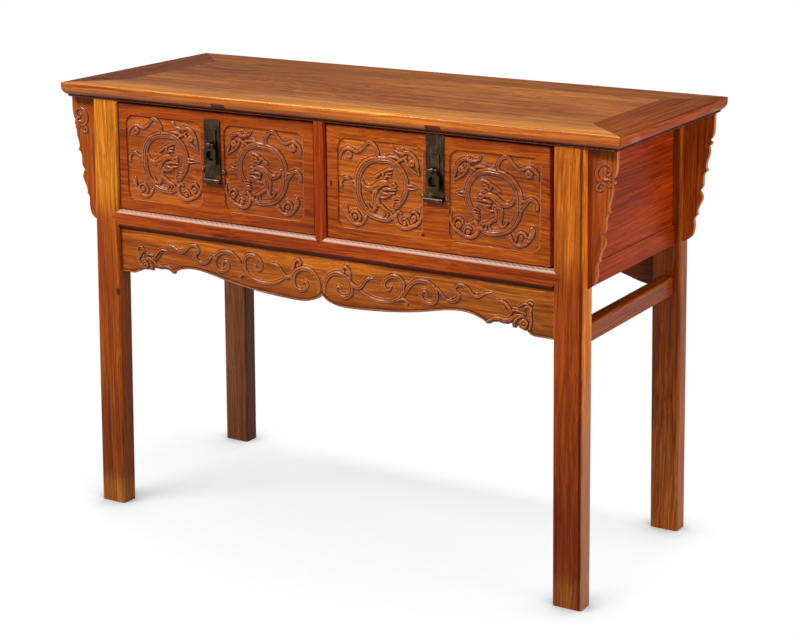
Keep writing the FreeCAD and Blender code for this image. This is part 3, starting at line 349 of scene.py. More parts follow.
class Nodes:
    """Adds nodes to a tree, and joins values, places and colours by them."""

    def __init__(self, tree):
        self.tree = tree

    def add(self, kind, inputs=None, **settings):
        """Add a node with its settings, and its inputs as values or as links."""
        added = self.tree.nodes.new(kind)
        for key, value in settings.items():
            setattr(added, key, value)
        for key, value in (inputs or {}).items():
            if isinstance(value, bpy.types.NodeSocket):
                self.tree.links.new(value, added.inputs[key])
            else:
                added.inputs[key].default_value = value
        return added

    def math(self, operation, first, second=0.0, third=0.0):
        """The result of one operation on values."""
        return self.add("ShaderNodeMath", {0: first, 1: second, 2: third}, operation=operation).outputs[0]

    def times(self, first, second):
        """The product of two values."""
        return self.math("MULTIPLY", first, second)

    def scaled(self, value, factor, offset):
        """A value times a factor, plus an offset."""
        return self.math("MULTIPLY_ADD", value, factor, offset)

    def less(self, first, second):
        """The difference of two values."""
        return self.math("SUBTRACT", first, second)

    def most(self, first, second):
        """The greater of two values."""
        return self.math("MAXIMUM", first, second)

    def vector(self, operation, first, second, output=0):
        """The result of one operation on vectors."""
        return self.add("ShaderNodeVectorMath", {0: first, 1: second}, operation=operation).outputs[output]

    def length(self, vector):
        """The length of a vector."""
        return self.add("ShaderNodeVectorMath", {0: vector}, operation="LENGTH").outputs["Value"]

    def parts(self, vector):
        """The three parts of a vector."""
        return self.add("ShaderNodeSeparateXYZ", {0: vector}).outputs

    def mix(self, amount, first, second, blend="MIX"):
        """The blend of two colours."""
        inputs = {0: amount}
        for key, value in ((6, first), (7, second)):
            inputs[key] = value if isinstance(value, bpy.types.NodeSocket) else (*value, 1.0)
        return self.add("ShaderNodeMix", inputs, data_type="RGBA", blend_type=blend).outputs[2]

    def streaks(self, place, stretch, detail=3.0, roughness=0.55):
        """Noise drawn out along the grain, as a value round one half."""
        drawn = self.vector("MULTIPLY", place, stretch)
        noise = self.add("ShaderNodeTexNoise",
                         {"Vector": drawn, "Scale": 1.0, "Detail": detail, "Roughness": roughness})
        return noise.outputs["Factor" if "Factor" in noise.outputs else "Fac"]

    def between(self, value, low, high, low_result=0.0, high_result=1.0):
        """A value spread from one range to another, held at its ends."""
        spread = self.add("ShaderNodeMapRange", {0: value, 1: low, 2: high, 3: low_result, 4: high_result},
                          interpolation_type="SMOOTHSTEP")
        return spread.outputs[0]

    def falling(self, value, low, high):
        """One below a range, falling to none above it."""
        return self.between(value, low, high, 1.0, 0.0)

    def open_air(self, reach, samples):
        """How open a place is within a reach."""
        return self.add("ShaderNodeAmbientOcclusion", {"Distance": reach}, samples=samples).outputs["AO"]

    def surface(self, kind, inputs):
        """A shader on the material's output."""
        self.add("ShaderNodeOutputMaterial", {"Surface": self.add(kind, inputs).outputs[0]})


# A mask is a function of the nodes and the place that returns a strength from none to all

def along(axis, low, high, first=1.0, last=0.0):
    """A mask that runs from one strength to another between two marks on an axis."""
    def mask(nodes, place):
        return nodes.between(nodes.parts(place)[axis], low, high, first, last)
    return mask


def both(first, second):
    """A mask where two masks overlap."""
    def mask(nodes, place):
        return nodes.times(first(nodes, place), second(nodes, place))
    return mask


def knot(across, up, wide, tall):
    """A mask for a small knot on a face that looks forward."""
    def mask(nodes, place):
        offset = nodes.vector("SUBTRACT", place, (across, 0.0, up))
        shares = nodes.vector("MULTIPLY", offset, (1 / wide, 0.0, 1 / tall))
        return nodes.falling(nodes.length(shares), 0.45, 1.0)
    return mask


def end_facing(nodes, place):
    """A mask for the faces that look to the left or the right."""
    normal = nodes.add("ShaderNodeNewGeometry").outputs["True Normal"]
    return nodes.between(nodes.math("ABSOLUTE", nodes.parts(normal)[0]), 0.55, 0.80)


def off_ends(nodes, place):
    """A mask for all other faces."""
    return nodes.less(1.0, end_facing(nodes, place))


def corner_line(nodes, place):
    """A mask for a line of painted shade beside the right leg's outer corner, which leans with the leg."""
    foot, lean = 0.540, 0.02165
    across, _, up = nodes.parts(place)
    inward = nodes.less(foot, nodes.scaled(up, lean, across))
    return nodes.times(nodes.between(inward, 0.0022, 0.0036), nodes.falling(inward, 0.0066, 0.0090))


def ledge_sheen(nodes, place):
    """A mask for the rail's upper round and its ledge, pale as a painted reflection, with slanting marks
    across the ledge.
    """
    across, deep, up = nodes.parts(place)
    slant = nodes.scaled(up, 0.6, nodes.scaled(deep, 1.6, across))
    sway = nodes.times(nodes.streaks(place, (60.0, 40.0, 40.0), 2.0), 5.0)
    wave = nodes.math("SINE", nodes.scaled(slant, 520.0, sway))
    marks = nodes.between(wave, -0.7, 0.5, 0.20, 0.40)
    edge = nodes.times(nodes.between(up, 0.6025, 0.6050), 0.64)
    return nodes.scaled(nodes.between(up, 0.6060, 0.6080), nodes.less(marks, edge), edge)


def seams_and_under_shade(nodes, place):
    """A mask for the fine dark lines of the top's mitres and panel, and a painted shade below its moulding.
    """
    def line(value, level, inner, outer):
        return nodes.falling(nodes.math("ABSOLUTE", nodes.less(value, level)), inner, outer)
    parts = nodes.parts(place)
    across = nodes.math("ABSOLUTE", parts[0])
    deep = nodes.math("ABSOLUTE", parts[1])
    half_across, half_deep = PANEL_HALF
    outside = nodes.between(across, half_across - 0.0005, half_across + 0.0005)
    beyond = nodes.between(deep, half_deep - 0.0005, half_deep + 0.0005)
    mitre = line(nodes.less(across, deep), half_across - half_deep, 0.0004, 0.0011)
    long_edge = nodes.times(line(deep, half_deep, 0.0003, 0.0009), nodes.less(1.0, outside))
    short_edge = nodes.times(line(across, half_across, 0.0003, 0.0009), nodes.less(1.0, beyond))
    corner = nodes.times(mitre, nodes.times(outside, beyond))
    lines = nodes.most(corner, nodes.most(long_edge, short_edge))
    # Below the moulding the top's parts get painted shade
    return nodes.most(lines, nodes.falling(parts[2], 0.8285, 0.8305))


def right_half(side):
    """A mask for the part of a drawer that lies to the right of its lock."""
    middle = LOCK_MIDDLES[side] * MM
    return along(0, middle - 0.02, middle + 0.02, 0.0, 1.0)


# A tinting changes a wood's colour where its mask is; some are real staining and knots, some painted light
# and shade.
# A wood has its grain's direction, a tone that multiplies its colours, how wild its figure is, where in the
# grain it is cut, its gloss and coat, the share of painted shade in its corners, its tintings, and the colour
# of its rubbed edges, painted shade where dark.
Stain = namedtuple("Stain", "mask dye blend", defaults=("MULTIPLY",))
Wood = namedtuple("Wood", "grain tone figure shift gloss coat wax stains arris",
                  defaults=((0.0, 0.0, 0.0), 0.06, 0.06, 1.0, (), None))

KNOT = (0.20, 0.12, 0.12)
# Dark colour laid on the rubbed-edge mask of some legs, a painted shade along their arrises
ARRIS_SHADE = (0.10, 0.02, 0.003)
DARK_HALF = (0.82, 0.76, 0.80)
SEAMS_AND_UNDER_SHADE = Stain(seams_and_under_shade, (0.28, 0.22, 0.22))
TENON_END = Stain(end_facing, (1.00, 0.46, 0.05))
# Painted light and shade on the top's front rail: darker towards the left, brighter towards the front as a
# painted highlight, its moulded edge below the upper face darker, and darker still towards the right
TOP_FRONT_LIGHT_AND_SHADE = (
    Stain(along(0, -0.60, 0.30), (0.68, 0.62, 0.74)),
    Stain(along(1, -0.225, -0.175), (1.54, 1.72, 1.2)),
    Stain(along(2, *TOP_FACE), (0.75, 0.54, 0.50)),
    Stain(both(along(2, *TOP_FACE), along(0, 0.15, 0.45, 0.0, 1.0)), (0.84, 0.74, 0.75)),
)
# Painted shade on the legs: darker below the rail's level and again lower down, for the light falling off
# towards the floor, then lighter at the very foot
LEG_SHADES = (
    Stain(along(2, 0.57, 0.66), (0.55, 0.35, 0.26)),
    Stain(along(2, 0.12, 0.42), (0.64, 0.58, 0.90)),
    Stain(along(2, 0.03, 0.07), (1.45, 2.40, 4.00)),
)
# Painted light and shade on the right front leg: the legs' painted shade on its front and back faces, its
# side faces lighter as painted light and darker low down as painted shade, and a line of painted shade beside
# its outer corner
RIGHT_LEG_SHADING = (
    *(Stain(both(shade.mask, off_ends), shade.dye) for shade in LEG_SHADES),
    Stain(end_facing, (1.45, 1.50, 0.60)),
    Stain(both(end_facing, along(2, 0.25, 0.52, 0.72)), (0.280, 0.126, 0.078), "MIX"),
    Stain(corner_line, (0.36, 0.26, 0.30)),
)
# The rail: painted shade on its lower round, a pale painted reflection on its upper round and ledge, and a
# real knot
RAIL_SHADE_SHEEN_AND_KNOT = (
    Stain(along(2, 0.5795, 0.5830), (0.26, 0.22, 0.35)),
    Stain(ledge_sheen, (0.62, 0.50, 0.39), "MIX"),
    Stain(knot(-0.226, 0.5872, 0.026, 0.0045), (0.45, 0.34, 0.34)),
)
# The apron: darker lower down, and cooler towards the right
APRON_TINTS = (
    Stain(along(2, 0.540, 0.562), (0.80, 0.76, 0.76)),
    Stain(along(2, 0.490, 0.530), (0.84, 0.78, 0.80)),
    Stain(along(0, 0.0, 0.45, 0.0, 1.0), (0.93, 1.04, 1.2)),
)
DRAWER_STAINS = (
    Stain(along(1, *FACE_DEPTHS), (0.77, 0.61, 0.45)),
    Stain(knot(0.211, 0.6387, 0.005, 0.0035), KNOT),
    Stain(knot(0.0194, 0.712, 0.003, 0.008), KNOT),
)
APRON_CUT = (0.6, 0.1, 0.7)
WOODS = {
    "top_rail": Wood("X", (1.33, 1.75, 2.3), 0.35, (0.2, 0.4, 0.1), gloss=0.08, coat=0.30,
                     stains=(*TOP_FRONT_LIGHT_AND_SHADE, SEAMS_AND_UNDER_SHADE, TENON_END)),
    "top_rear": Wood("X", (0.80, 0.90, 1.1), 0.4, (0.9, 1.4, 0.3), gloss=0.08, coat=0.02,
                     stains=(SEAMS_AND_UNDER_SHADE, TENON_END)),
    "left_end": Wood("Y", (0.46, 0.40, 0.7), 0.35, (0.3, 0.7, 0.2), gloss=0.08, coat=0.02, stains=(SEAMS_AND_UNDER_SHADE,)),
    # The right end's edge below its upper face is lighter and redder: painted light
    "right_end": Wood("Y", (0.68, 0.60, 0.62), 0.35, (0.8, 0.2, 0.5), gloss=0.03, coat=0.0,
                      stains=(SEAMS_AND_UNDER_SHADE, Stain(along(2, *TOP_FACE), (1.5, 1.05, 0.7)))),
    # The panel is darker towards the left, a painted shade
    "panel": Wood("X", (0.98, 1.16, 2.0), 1.0, (0.1, 0.05, 0.0), gloss=0.08, coat=0.02,
                  stains=(Stain(along(0, -0.55, 0.20), (0.72, 0.74, 0.95)), SEAMS_AND_UNDER_SHADE)),
    "tenon": Wood("Y", (0.42, 0.36, 0.5), 0.3),
    "left_leg": Wood("Z", (1.60, 2.15, 1.8), 0.25, (0.1, 0.3, 0.6),
                     stains=(*LEG_SHADES, Stain(knot(-0.478, 0.4444, 0.0045, 0.010), KNOT))),
    "right_leg": Wood("Z", (1.27, 1.34, 1.25), 0.30, (0.4, 0.7, 0.2), gloss=0.07, stains=RIGHT_LEG_SHADING,
                      arris=ARRIS_SHADE),
    # The two rear legs are darker as painted shade: the far left one darker still towards its foot, the rear
    # right one lighter towards its foot and with painted shade along its arrises
    "far_leg": Wood("Z", (0.49, 0.62, 2.8), 0.3, (0.3, 0.5, 0.1), gloss=0.07,
                    stains=(Stain(along(2, 0.05, 0.68), (0.70, 0.66, 0.66)),)),
    "rear_leg": Wood("Z", (0.76, 0.61, 0.6), 0.3, (0.9, 0.1, 0.5), gloss=0.07,
                     stains=(Stain(along(2, 0.08, 0.38), (1.75, 2.30, 4.5)),), arris=ARRIS_SHADE),
    "rail": Wood("X", (0.86, 0.56, 0.5), 0.35, (0.5, 0.2, 0.9), gloss=0.05, coat=0.08, wax=0.6,
                 stains=RAIL_SHADE_SHEEN_AND_KNOT),
    "post": Wood("Z", (0.86, 0.46, 0.30), 0.2, (0.4, 0.1, 0.2), coat=0.03),
    "deep": Wood("Y", (0.86, 0.38, 0.35), 0.35, (0.7, 0.5, 0.3), gloss=0.03, coat=0.02),
    "stretcher": Wood("Y", (0.70, 0.52, 0.7), 0.3, (0.2, 0.9, 0.6), gloss=0.08, coat=0.04),
    # Pale wood for the cartouches' painted highlight
    "highlight_rim": Wood("X", (1.20, 1.50, 7.0), 0.3, (0.3, 0.8, 0.5), gloss=0.10, coat=0.40, wax=0.0),
    "apron": Wood("X", (1.14, 1.14, 1.0), 0.60, APRON_CUT, coat=0.08, wax=0.45, stains=APRON_TINTS),
    "apron_carving": Wood("X", (1.02, 0.99, 0.9), 0.60, APRON_CUT, gloss=0.10, coat=0.42),
    # The apron's bead is a real moulding, painted pale as a highlight
    "bead": Wood("X", (1.40, 2.40, 18.0), 0.3, APRON_CUT, gloss=0.10, coat=0.50, wax=0.2),
    # Near-black wood for the dark lines of painted shade
    "shade_line": Wood("X", (0.16, 0.12, 0.3), 0.3, coat=0.0),
    # The rear apron is darkened as painted shade
    "rear": Wood("X", (0.55, 0.45, 0.6), 0.3, (0.1, 0.9, 0.2)),
}
DRAWER_WOODS = {
    "left": Wood("X", (1.00, 0.85, 0.90), 0.55, (0.3, 0.8, 0.5)),
    "right": Wood("X", (1.16, 1.10, 1.1), 0.55, (0.9, 0.3, 0.1)),
}
SPANDREL_WOODS = {
    "left": Wood("Z", (0.90, 0.72, 0.8), 0.3, (0.2, 0.6, 0.4)),
    "right": Wood("Z", (0.96, 0.72, 0.9), 0.3, (0.2, 0.6, 0.4)),
}
# Each drawer's sunk grounds and carving are darker to the right of its lock, and carving is glossier
for side_name in SIDES:
    beyond_lock = right_half(side_name)
    ground = Stain(both(beyond_lock, along(1, *FACE_DEPTHS, 0.0, 1.0)), DARK_HALF)
    WOODS[f"{side_name}_drawer"] = DRAWER_WOODS[side_name]._replace(
        coat=0.08, wax=0.25, stains=(*DRAWER_STAINS, ground))
    WOODS[f"{side_name}_carving"] = DRAWER_WOODS[side_name]._replace(
        gloss=0.10, coat=0.42, stains=(Stain(beyond_lock, DARK_HALF),))
    WOODS[f"{side_name}_spandrel"] = SPANDREL_WOODS[side_name]._replace(
        stains=(Stain(end_facing, (1.35, 1.9, 3.0)),))
    WOODS[f"{side_name}_curl"] = SPANDREL_WOODS[side_name]._replace(coat=0.4)


def new_material(name):
    """An empty material, with its nodes and the place on the piece."""
    material = bpy.data.materials.new(name)
    material.use_nodes = True
    material.node_tree.nodes.clear()
    nodes = Nodes(material.node_tree)
    return material, nodes, nodes.add("ShaderNodeTexCoord").outputs["Object"]


def rosewood(kind):
    """Waxed rosewood of one kind, with painted shade in the carving's hollows and in enclosed corners."""
    name = f"rosewood_{kind}"
    if name in bpy.data.materials:
        return bpy.data.materials[name]
    wood = WOODS[kind]
    finish = bpy.context.scene.coffer_wood
    material, nodes, place = new_material(name)
    board = nodes.add("ShaderNodeMapping", {"Vector": place, "Location": wood.shift,
                                            "Rotation": GRAIN_TURN[wood.grain]}).outputs[0]

    # The board's slow bends, then streaks of several widths along it
    bend = nodes.streaks(board, (2.2, 6.0, 6.0), 2.0)
    bend = nodes.scaled(bend, 0.10 * wood.figure, -0.05 * wood.figure)
    bent = nodes.vector("ADD", board, nodes.add("ShaderNodeCombineXYZ", {1: bend, 2: bend}).outputs[0])
    cloud = nodes.streaks(bent, (2.4, 9.0, 9.0), 3.0)
    bands = nodes.streaks(bent, (1.8, 64.0, 64.0), 5.0, 0.66)
    fine = nodes.streaks(bent, (5.0, 300.0, 300.0), 3.0, 0.62)
    fibre = nodes.streaks(bent, (24.0, 1100.0, 1100.0), 2.0, 0.6)
    veins = nodes.between(nodes.streaks(bent, (2.2, 130.0, 130.0), 3.0, 0.6), 0.56, 0.68)
    pores = nodes.between(nodes.streaks(bent, (34.0, 800.0, 800.0), 1.0), 0.58, 0.70)

    value = nodes.times(cloud, 0.22 + 0.45 * wood.figure)
    for streak, weight in ((bands, 0.62), (fine, 1.00), (fibre, 0.26)):
        value = nodes.scaled(streak, weight, value)
    middle = 0.11 + 0.225 * wood.figure + 0.94
    spread = nodes.add("ShaderNodeMapRange", {0: value, 1: middle - 0.27, 2: middle + 0.27}).outputs[0]
    ramp = nodes.add("ShaderNodeValToRGB", {0: spread})
    stops = ramp.color_ramp.elements
    stops[0].position = 0.06
    stops[0].color = (*finish.dark, 1.0)
    stops[1].position = 0.94
    stops[1].color = (*finish.light, 1.0)
    stops.new(0.50).color = (*finish.middle, 1.0)
    lines = nodes.most(nodes.times(pores, 0.62), nodes.times(veins, 0.55))
    colour = nodes.mix(lines, ramp.outputs[0], finish.dark)
    colour = nodes.mix(1.0, colour, wood.tone, "MULTIPLY")

    # Painted shade, partly dark waxy dirt, in the carving's hollows and in corners and joints by how enclosed
    # they are;
    # ridges and edges are rubbed paler, and edges with a dark arris colour get painted shade instead
    carving = nodes.add("ShaderNodeAttribute", attribute_name="carving").outputs["Fac"]
    hollow = nodes.times(nodes.between(carving, 0.02, 0.56), 0.94)
    ridge = nodes.times(nodes.falling(carving, -0.75, -0.05), 0.14)
    air = nodes.open_air(finish.corner_shade_reach, 8)
    corner_shade = nodes.times(nodes.falling(air, 0.34, 0.78), wood.wax * finish.corner_shade)
    rounded = nodes.add("ShaderNodeBevel", {"Radius": finish.edge}, samples=4).outputs[0]
    flat = nodes.add("ShaderNodeNewGeometry").outputs["Normal"]
    facing = nodes.vector("DOT_PRODUCT", rounded, flat, "Value")
    rubbed = nodes.times(nodes.falling(facing, 0.88, 0.995), 0.45)
    colour = nodes.mix(nodes.most(ridge, rubbed), colour, wood.arris or finish.light)
    colour = nodes.mix(nodes.most(hollow, corner_shade), colour, WAX_AND_SHADE)
    for tinting in wood.stains:
        colour = nodes.mix(tinting.mask(nodes, place), colour, tinting.dye, tinting.blend)

    roughness = nodes.scaled(hollow, 0.22, nodes.scaled(fine, 0.16, finish.roughness - 0.08))
    relief = nodes.scaled(fibre, 0.5, nodes.times(pores, -0.7))
    bump = nodes.add("ShaderNodeBump",
                     {"Strength": 0.16, "Distance": 0.0006, "Height": relief, "Normal": rounded})
    nodes.surface("ShaderNodeBsdfPrincipled",
                  {"Base Color": colour, "Roughness": roughness, "Normal": bump.outputs[0],
                   "Specular IOR Level": wood.gloss, "Coat Weight": wood.coat, "Coat Roughness": 0.14})
    return material


def lining(kind):
    """Plain pale wood of the drawers' insides and the hidden framing."""
    name = f"lining_{kind}"
    if name in bpy.data.materials:
        return bpy.data.materials[name]
    finish = bpy.context.scene.coffer_wood
    material, nodes, place = new_material(name)
    board = nodes.add("ShaderNodeMapping",
                      {"Vector": place, "Rotation": GRAIN_TURN[LINING_GRAIN[kind]]}).outputs[0]
    broad = nodes.streaks(board, (1.6, 26.0, 26.0), 3.0)
    fine = nodes.streaks(board, (9.0, 320.0, 320.0), 3.0, 0.65)
    tinting = nodes.between(nodes.streaks(board, (2.2, 4.0, 4.0), 4.0, 0.6), 0.42, 0.74)
    value = nodes.scaled(fine, 0.5, nodes.times(broad, 0.5))
    dark = tuple(channel * 0.42 for channel in finish.inside)
    colour = nodes.mix(nodes.between(value, 0.34, 0.66), dark, finish.inside)
    colour = nodes.mix(nodes.times(tinting, 0.45), colour, LINING_STAIN)
    rough = nodes.scaled(fine, 0.2, 0.52)
    bump = nodes.add("ShaderNodeBump", {"Strength": 0.25, "Distance": 0.0006, "Height": fine})
    nodes.surface("ShaderNodeBsdfPrincipled",
                  {"Base Color": colour, "Roughness": rough, "Normal": bump.outputs[0],
                   "Specular IOR Level": 0.25})
    return material


def dark_metal(kind):
    """Metal of the locks, with patches rubbed bare and fine scratches."""
    name = f"dark_metal_{kind}"
    if name in bpy.data.materials:
        return bpy.data.materials[name]
    finish = bpy.context.scene.coffer_metal
    material, nodes, place = new_material(name)
    clouds = nodes.streaks(place, (70.0, 70.0, 45.0), 5.0, 0.62)
    specks = nodes.streaks(place, (420.0, 420.0, 420.0), 3.0, 0.6)
    scratches = nodes.streaks(place, (900.0, 900.0, 60.0), 2.0, 0.5)
    worn = nodes.between(nodes.scaled(scratches, 0.35, nodes.times(clouds, 0.75)), 0.50, 0.80)
    colour = nodes.mix(worn, getattr(finish, kind), finish.worn)
    colour = nodes.mix(nodes.between(specks, 0.58, 0.74, 0.0, 0.5), colour, TARNISH)
    rough = nodes.scaled(specks, 0.30, finish.roughness - 0.20)
    bump = nodes.add("ShaderNodeBump", {"Strength": 0.20, "Distance": 0.0005, "Height": clouds})
    nodes.surface("ShaderNodeBsdfPrincipled",
                  {"Base Color": colour, "Roughness": rough, "Normal": bump.outputs[0], "Metallic": 0.85})
    return material


def dress(material, *names):
    """Give frame nodes their finish."""
    for name in names:
        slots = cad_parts[name].data.materials
        slots.clear()
        slots.append(material)


def smooth_line(points, step):
    """Points along a smooth line through rows of numbers, the first two of which are its place."""
    rows = np.array(points, float)
    rows = np.vstack([2 * rows[0] - rows[1], rows, 2 * rows[-1] - rows[-2]])
    parts = []
    for before, start, end, after in zip(rows[:-3], rows[1:-2], rows[2:-1], rows[3:]):
        count = max(2, int(math.hypot(*(end - start)[:2]) / step))
        t = np.linspace(0.0, 1.0, count, endpoint=False)[:, None]
        parts.append(0.5 * (2 * start + (end - before) * t
                            + (2 * before - 5 * start + 4 * end - after) * t ** 2
                            + (3 * start - before - 3 * end + after) * t ** 3))
    return np.vstack(parts + [rows[-2:-1]])


def ring_line(across, up, radius, half_width):
    """A closed round line."""
    turns = np.linspace(0.0, 2 * math.pi, 25)
    return [(across + radius * math.cos(t), up + radius * math.sin(t), half_width) for t in turns]


def soften(field, passes):
    """Even out a height field by passes of a small brush."""
    for _ in range(passes):
        padded = np.pad(field, 1, mode="edge")
        field = (padded[:-2, 1:-1] + padded[2:, 1:-1] + padded[1:-1, :-2] + padded[1:-1, 2:]
                 + 4 * padded[1:-1, 1:-1]) / 8
    return field


class Carving:
    """A carved surface over part of a face, in millimetres, with heights above its ground."""

    # The untouched ground, how far a line's slope reaches, and how closely lines are followed
    DEEP = -9.0
    REACH = 4.0
    SPACING = 0.6
    # How a line's crest drops where it narrows, and how its section rounds over
    TAPER = 0.6
    ROUND = 3
    FULLNESS = 0.55
    NARROWEST = 0.5
    # The least height above the ground, how far the piece is sunk in it, and what counts as a full hollow
    FILM = 0.08
    SUNK = 0.5
    FULL_HOLLOW = 0.5
    BROAD_PASSES = 14

    def __init__(self, left, right, foot, head, margin, step):
        self.margin = margin
        self.step = step
        self.across = np.arange(left, right + step / 2, step)
        self.up = np.arange(foot, head + step / 2, step)
        self.height = np.full((self.up.size, self.across.size), self.DEEP)

    def patch(self, x, z, reach):
        """The part of the field near a point, and its distances from it."""
        part = []
        for middle, marks in ((z, self.up), (x, self.across)):
            first = max(0, int((middle - reach - marks[0]) / self.step))
            last = max(0, int((middle + reach - marks[0]) / self.step) + 2)
            part.append(slice(first, last))
        distance = np.hypot(self.across[part[1]][None, :] - x, self.up[part[0]][:, None] - z)
        return tuple(part), distance

    def raise_line(self, points, height, fullness=1.0):
        """Raise a rounded line. Narrow ends are lower, and the ground beyond falls away."""
        rows = smooth_line(points, self.step * self.SPACING)
        rows[:, 2] *= fullness
        widest = max(row[2] for row in rows)
        for x, z, half_width in rows:
            half_width = max(half_width, self.NARROWEST)
            part, distance = self.patch(x, z, half_width + self.REACH)
            crest = height * (half_width / widest) ** self.TAPER
            inside = np.clip(1 - (distance / half_width) ** self.ROUND, 0, None)
            shape = np.where(distance < half_width, crest * inside ** self.FULLNESS, half_width - distance)
            self.height[part] = np.maximum(self.height[part], shape)

    def raise_lines(self, lines, height, fullness=1.0):
        """Raise several lines."""
        for line in lines:
            self.raise_line(line, height, fullness)

    def cut_line(self, points, depth, half_width):
        """Cut a narrow groove where the surface is raised."""
        nearest = np.full(self.height.shape, 99.0)
        for x, z in smooth_line(points, self.step * self.SPACING)[:, :2]:
            part, distance = self.patch(x, z, half_width * 3)
            nearest[part] = np.minimum(nearest[part], distance)
        groove = depth * np.exp(-(nearest / half_width) ** 2)
        self.height = np.where(self.height > 0, np.maximum(self.height - groove, 0.2), self.height)

    def piece(self, name, middle, ground, flip, material, body):
        """Make the carved piece: a closed mesh that lies on the ground, moved to its middle or mirrored."""
        surface = soften(np.maximum(self.height, 0.0), 1)
        # Hollows: how far the surface lies below its broad average. The material darkens them as painted
        # shade and lightens the ridges as wear; the ground beside the lines takes a fading share
        hollows = np.clip((soften(surface, self.BROAD_PASSES) - surface) / self.FULL_HOLLOW, -1.0, 1.0)
        near = self.height > -self.margin
        kept = near[:-1, :-1] | near[1:, :-1] | near[:-1, 1:] | near[1:, 1:]
        fade = np.clip((self.height + self.margin) / self.margin, 0.0, 1.0)
        hollows = np.where(self.height < 0, hollows * fade, hollows)
        used = np.zeros(self.height.shape, bool)
        for rows in (slice(None, -1), slice(1, None)):
            for columns in (slice(None, -1), slice(1, None)):
                used[rows, columns] |= kept
        number = np.full(self.height.shape, -1)
        number[used] = np.arange(used.sum())
        columns_mm, rows_mm = np.meshgrid(self.across, self.up)
        across = columns_mm[used] * (-1 if flip else 1) + middle[0]
        up = rows_mm[used] + middle[1]
        front = ground - surface[used] - self.FILM
        top = np.column_stack([across, front, up])
        bottom = np.column_stack([across, np.full(front.shape, ground + self.SUNK), up])
        count = len(top)

        # The carved face, the same face behind it, and a wall along every open side
        corner = (number[:-1, :-1], number[:-1, 1:], number[1:, 1:], number[1:, :-1])
        faces = np.column_stack([part[kept] for part in corner])
        walls = []
        padded = np.pad(kept, 1)
        neighbours = (padded[:-2, 1:-1], padded[1:-1, 2:], padded[2:, 1:-1], padded[1:-1, :-2])
        for side, neighbour in enumerate(neighbours):
            open_side = kept & ~neighbour
            start = corner[side][open_side]
            end = corner[(side + 1) % 4][open_side]
            walls.append(np.column_stack([end, start, start + count, end + count]))
        faces = np.vstack([faces, faces[:, ::-1] + count] + walls)
        if flip:
            faces = faces[:, ::-1]
        mesh = bpy.data.meshes.new(name)
        mesh.from_pydata((np.vstack([top, bottom]) * MM).tolist(), [], faces.tolist())
        smooth = np.zeros(len(faces), bool)
        smooth[:kept.sum()] = True
        mesh.polygons.foreach_set("use_smooth", smooth)
        marks = mesh.attributes.new("carving", "FLOAT", "POINT")
        marks.data.foreach_set("value", np.concatenate([hollows[used], np.zeros(count)]).astype(np.float32))
        mesh.materials.append(material)
        mesh.update()
        piece = bpy.data.objects.new(name, mesh)
        bpy.context.collection.objects.link(piece)
        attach(piece, body)
        return piece


def open_tree(name, sizes):
    """Start a geometry tree, and return its nodes with the geometry, sizes and material that it is given."""
    tree = bpy.data.node_groups.new(name, "GeometryNodeTree")
    tree.interface.new_socket("Geometry", in_out="INPUT", socket_type="NodeSocketGeometry")
    for label in sizes:
        tree.interface.new_socket(label, in_out="INPUT", socket_type="NodeSocketFloat")
    tree.interface.new_socket("Material", in_out="INPUT", socket_type="NodeSocketMaterial")
    tree.interface.new_socket("Geometry", in_out="OUTPUT", socket_type="NodeSocketGeometry")
    nodes = Nodes(tree)
    return nodes, nodes.add("NodeGroupInput").outputs


def close_tree(nodes, given, geometry):
    """End a geometry tree with smooth, real and painted geometry."""
    smooth = nodes.add("GeometryNodeSetShadeSmooth", {"Geometry": geometry})
    real = nodes.add("GeometryNodeRealizeInstances", {"Geometry": smooth.outputs[0]})
    painted = nodes.add("GeometryNodeSetMaterial",
                        {"Geometry": real.outputs[0], "Material": given["Material"]})
    nodes.add("NodeGroupOutput", {"Geometry": painted.outputs[0]})
    return nodes.tree


def bead_tree():
    """A rounded bead swept along a line of edges."""
    nodes, given = open_tree("edge_bead", ("Radius",))
    line = nodes.add("GeometryNodeMeshToCurve", {"Mesh": given["Geometry"]})
    section = nodes.add("GeometryNodeCurvePrimitiveCircle", {"Resolution": 10, "Radius": given["Radius"]})
    bead = nodes.add("GeometryNodeCurveToMesh",
                     {"Curve": line.outputs[0], "Profile Curve": section.outputs[0], "Fill Caps": True})
    return close_tree(nodes, given, bead.outputs[0])


def stud_tree():
    """Domed studs set on points, each an oval ball half sunk in the wood."""
    nodes, given = open_tree("guide_studs", ("Radius", "Rise"))
    points = nodes.add("GeometryNodeMeshToPoints", {"Mesh": given["Geometry"]})
    ball = nodes.add("GeometryNodeMeshUVSphere", {"Segments": 28, "Rings": 16, "Radius": 1.0})
    size = nodes.add("ShaderNodeCombineXYZ", {0: given["Radius"], 1: given["Rise"], 2: given["Radius"]})
    studs = nodes.add("GeometryNodeInstanceOnPoints", {"Points": points.outputs[0], "Scale": size.outputs[0],
                                                       "Instance": ball.outputs["Mesh"]})
    return close_tree(nodes, given, studs.outputs[0])


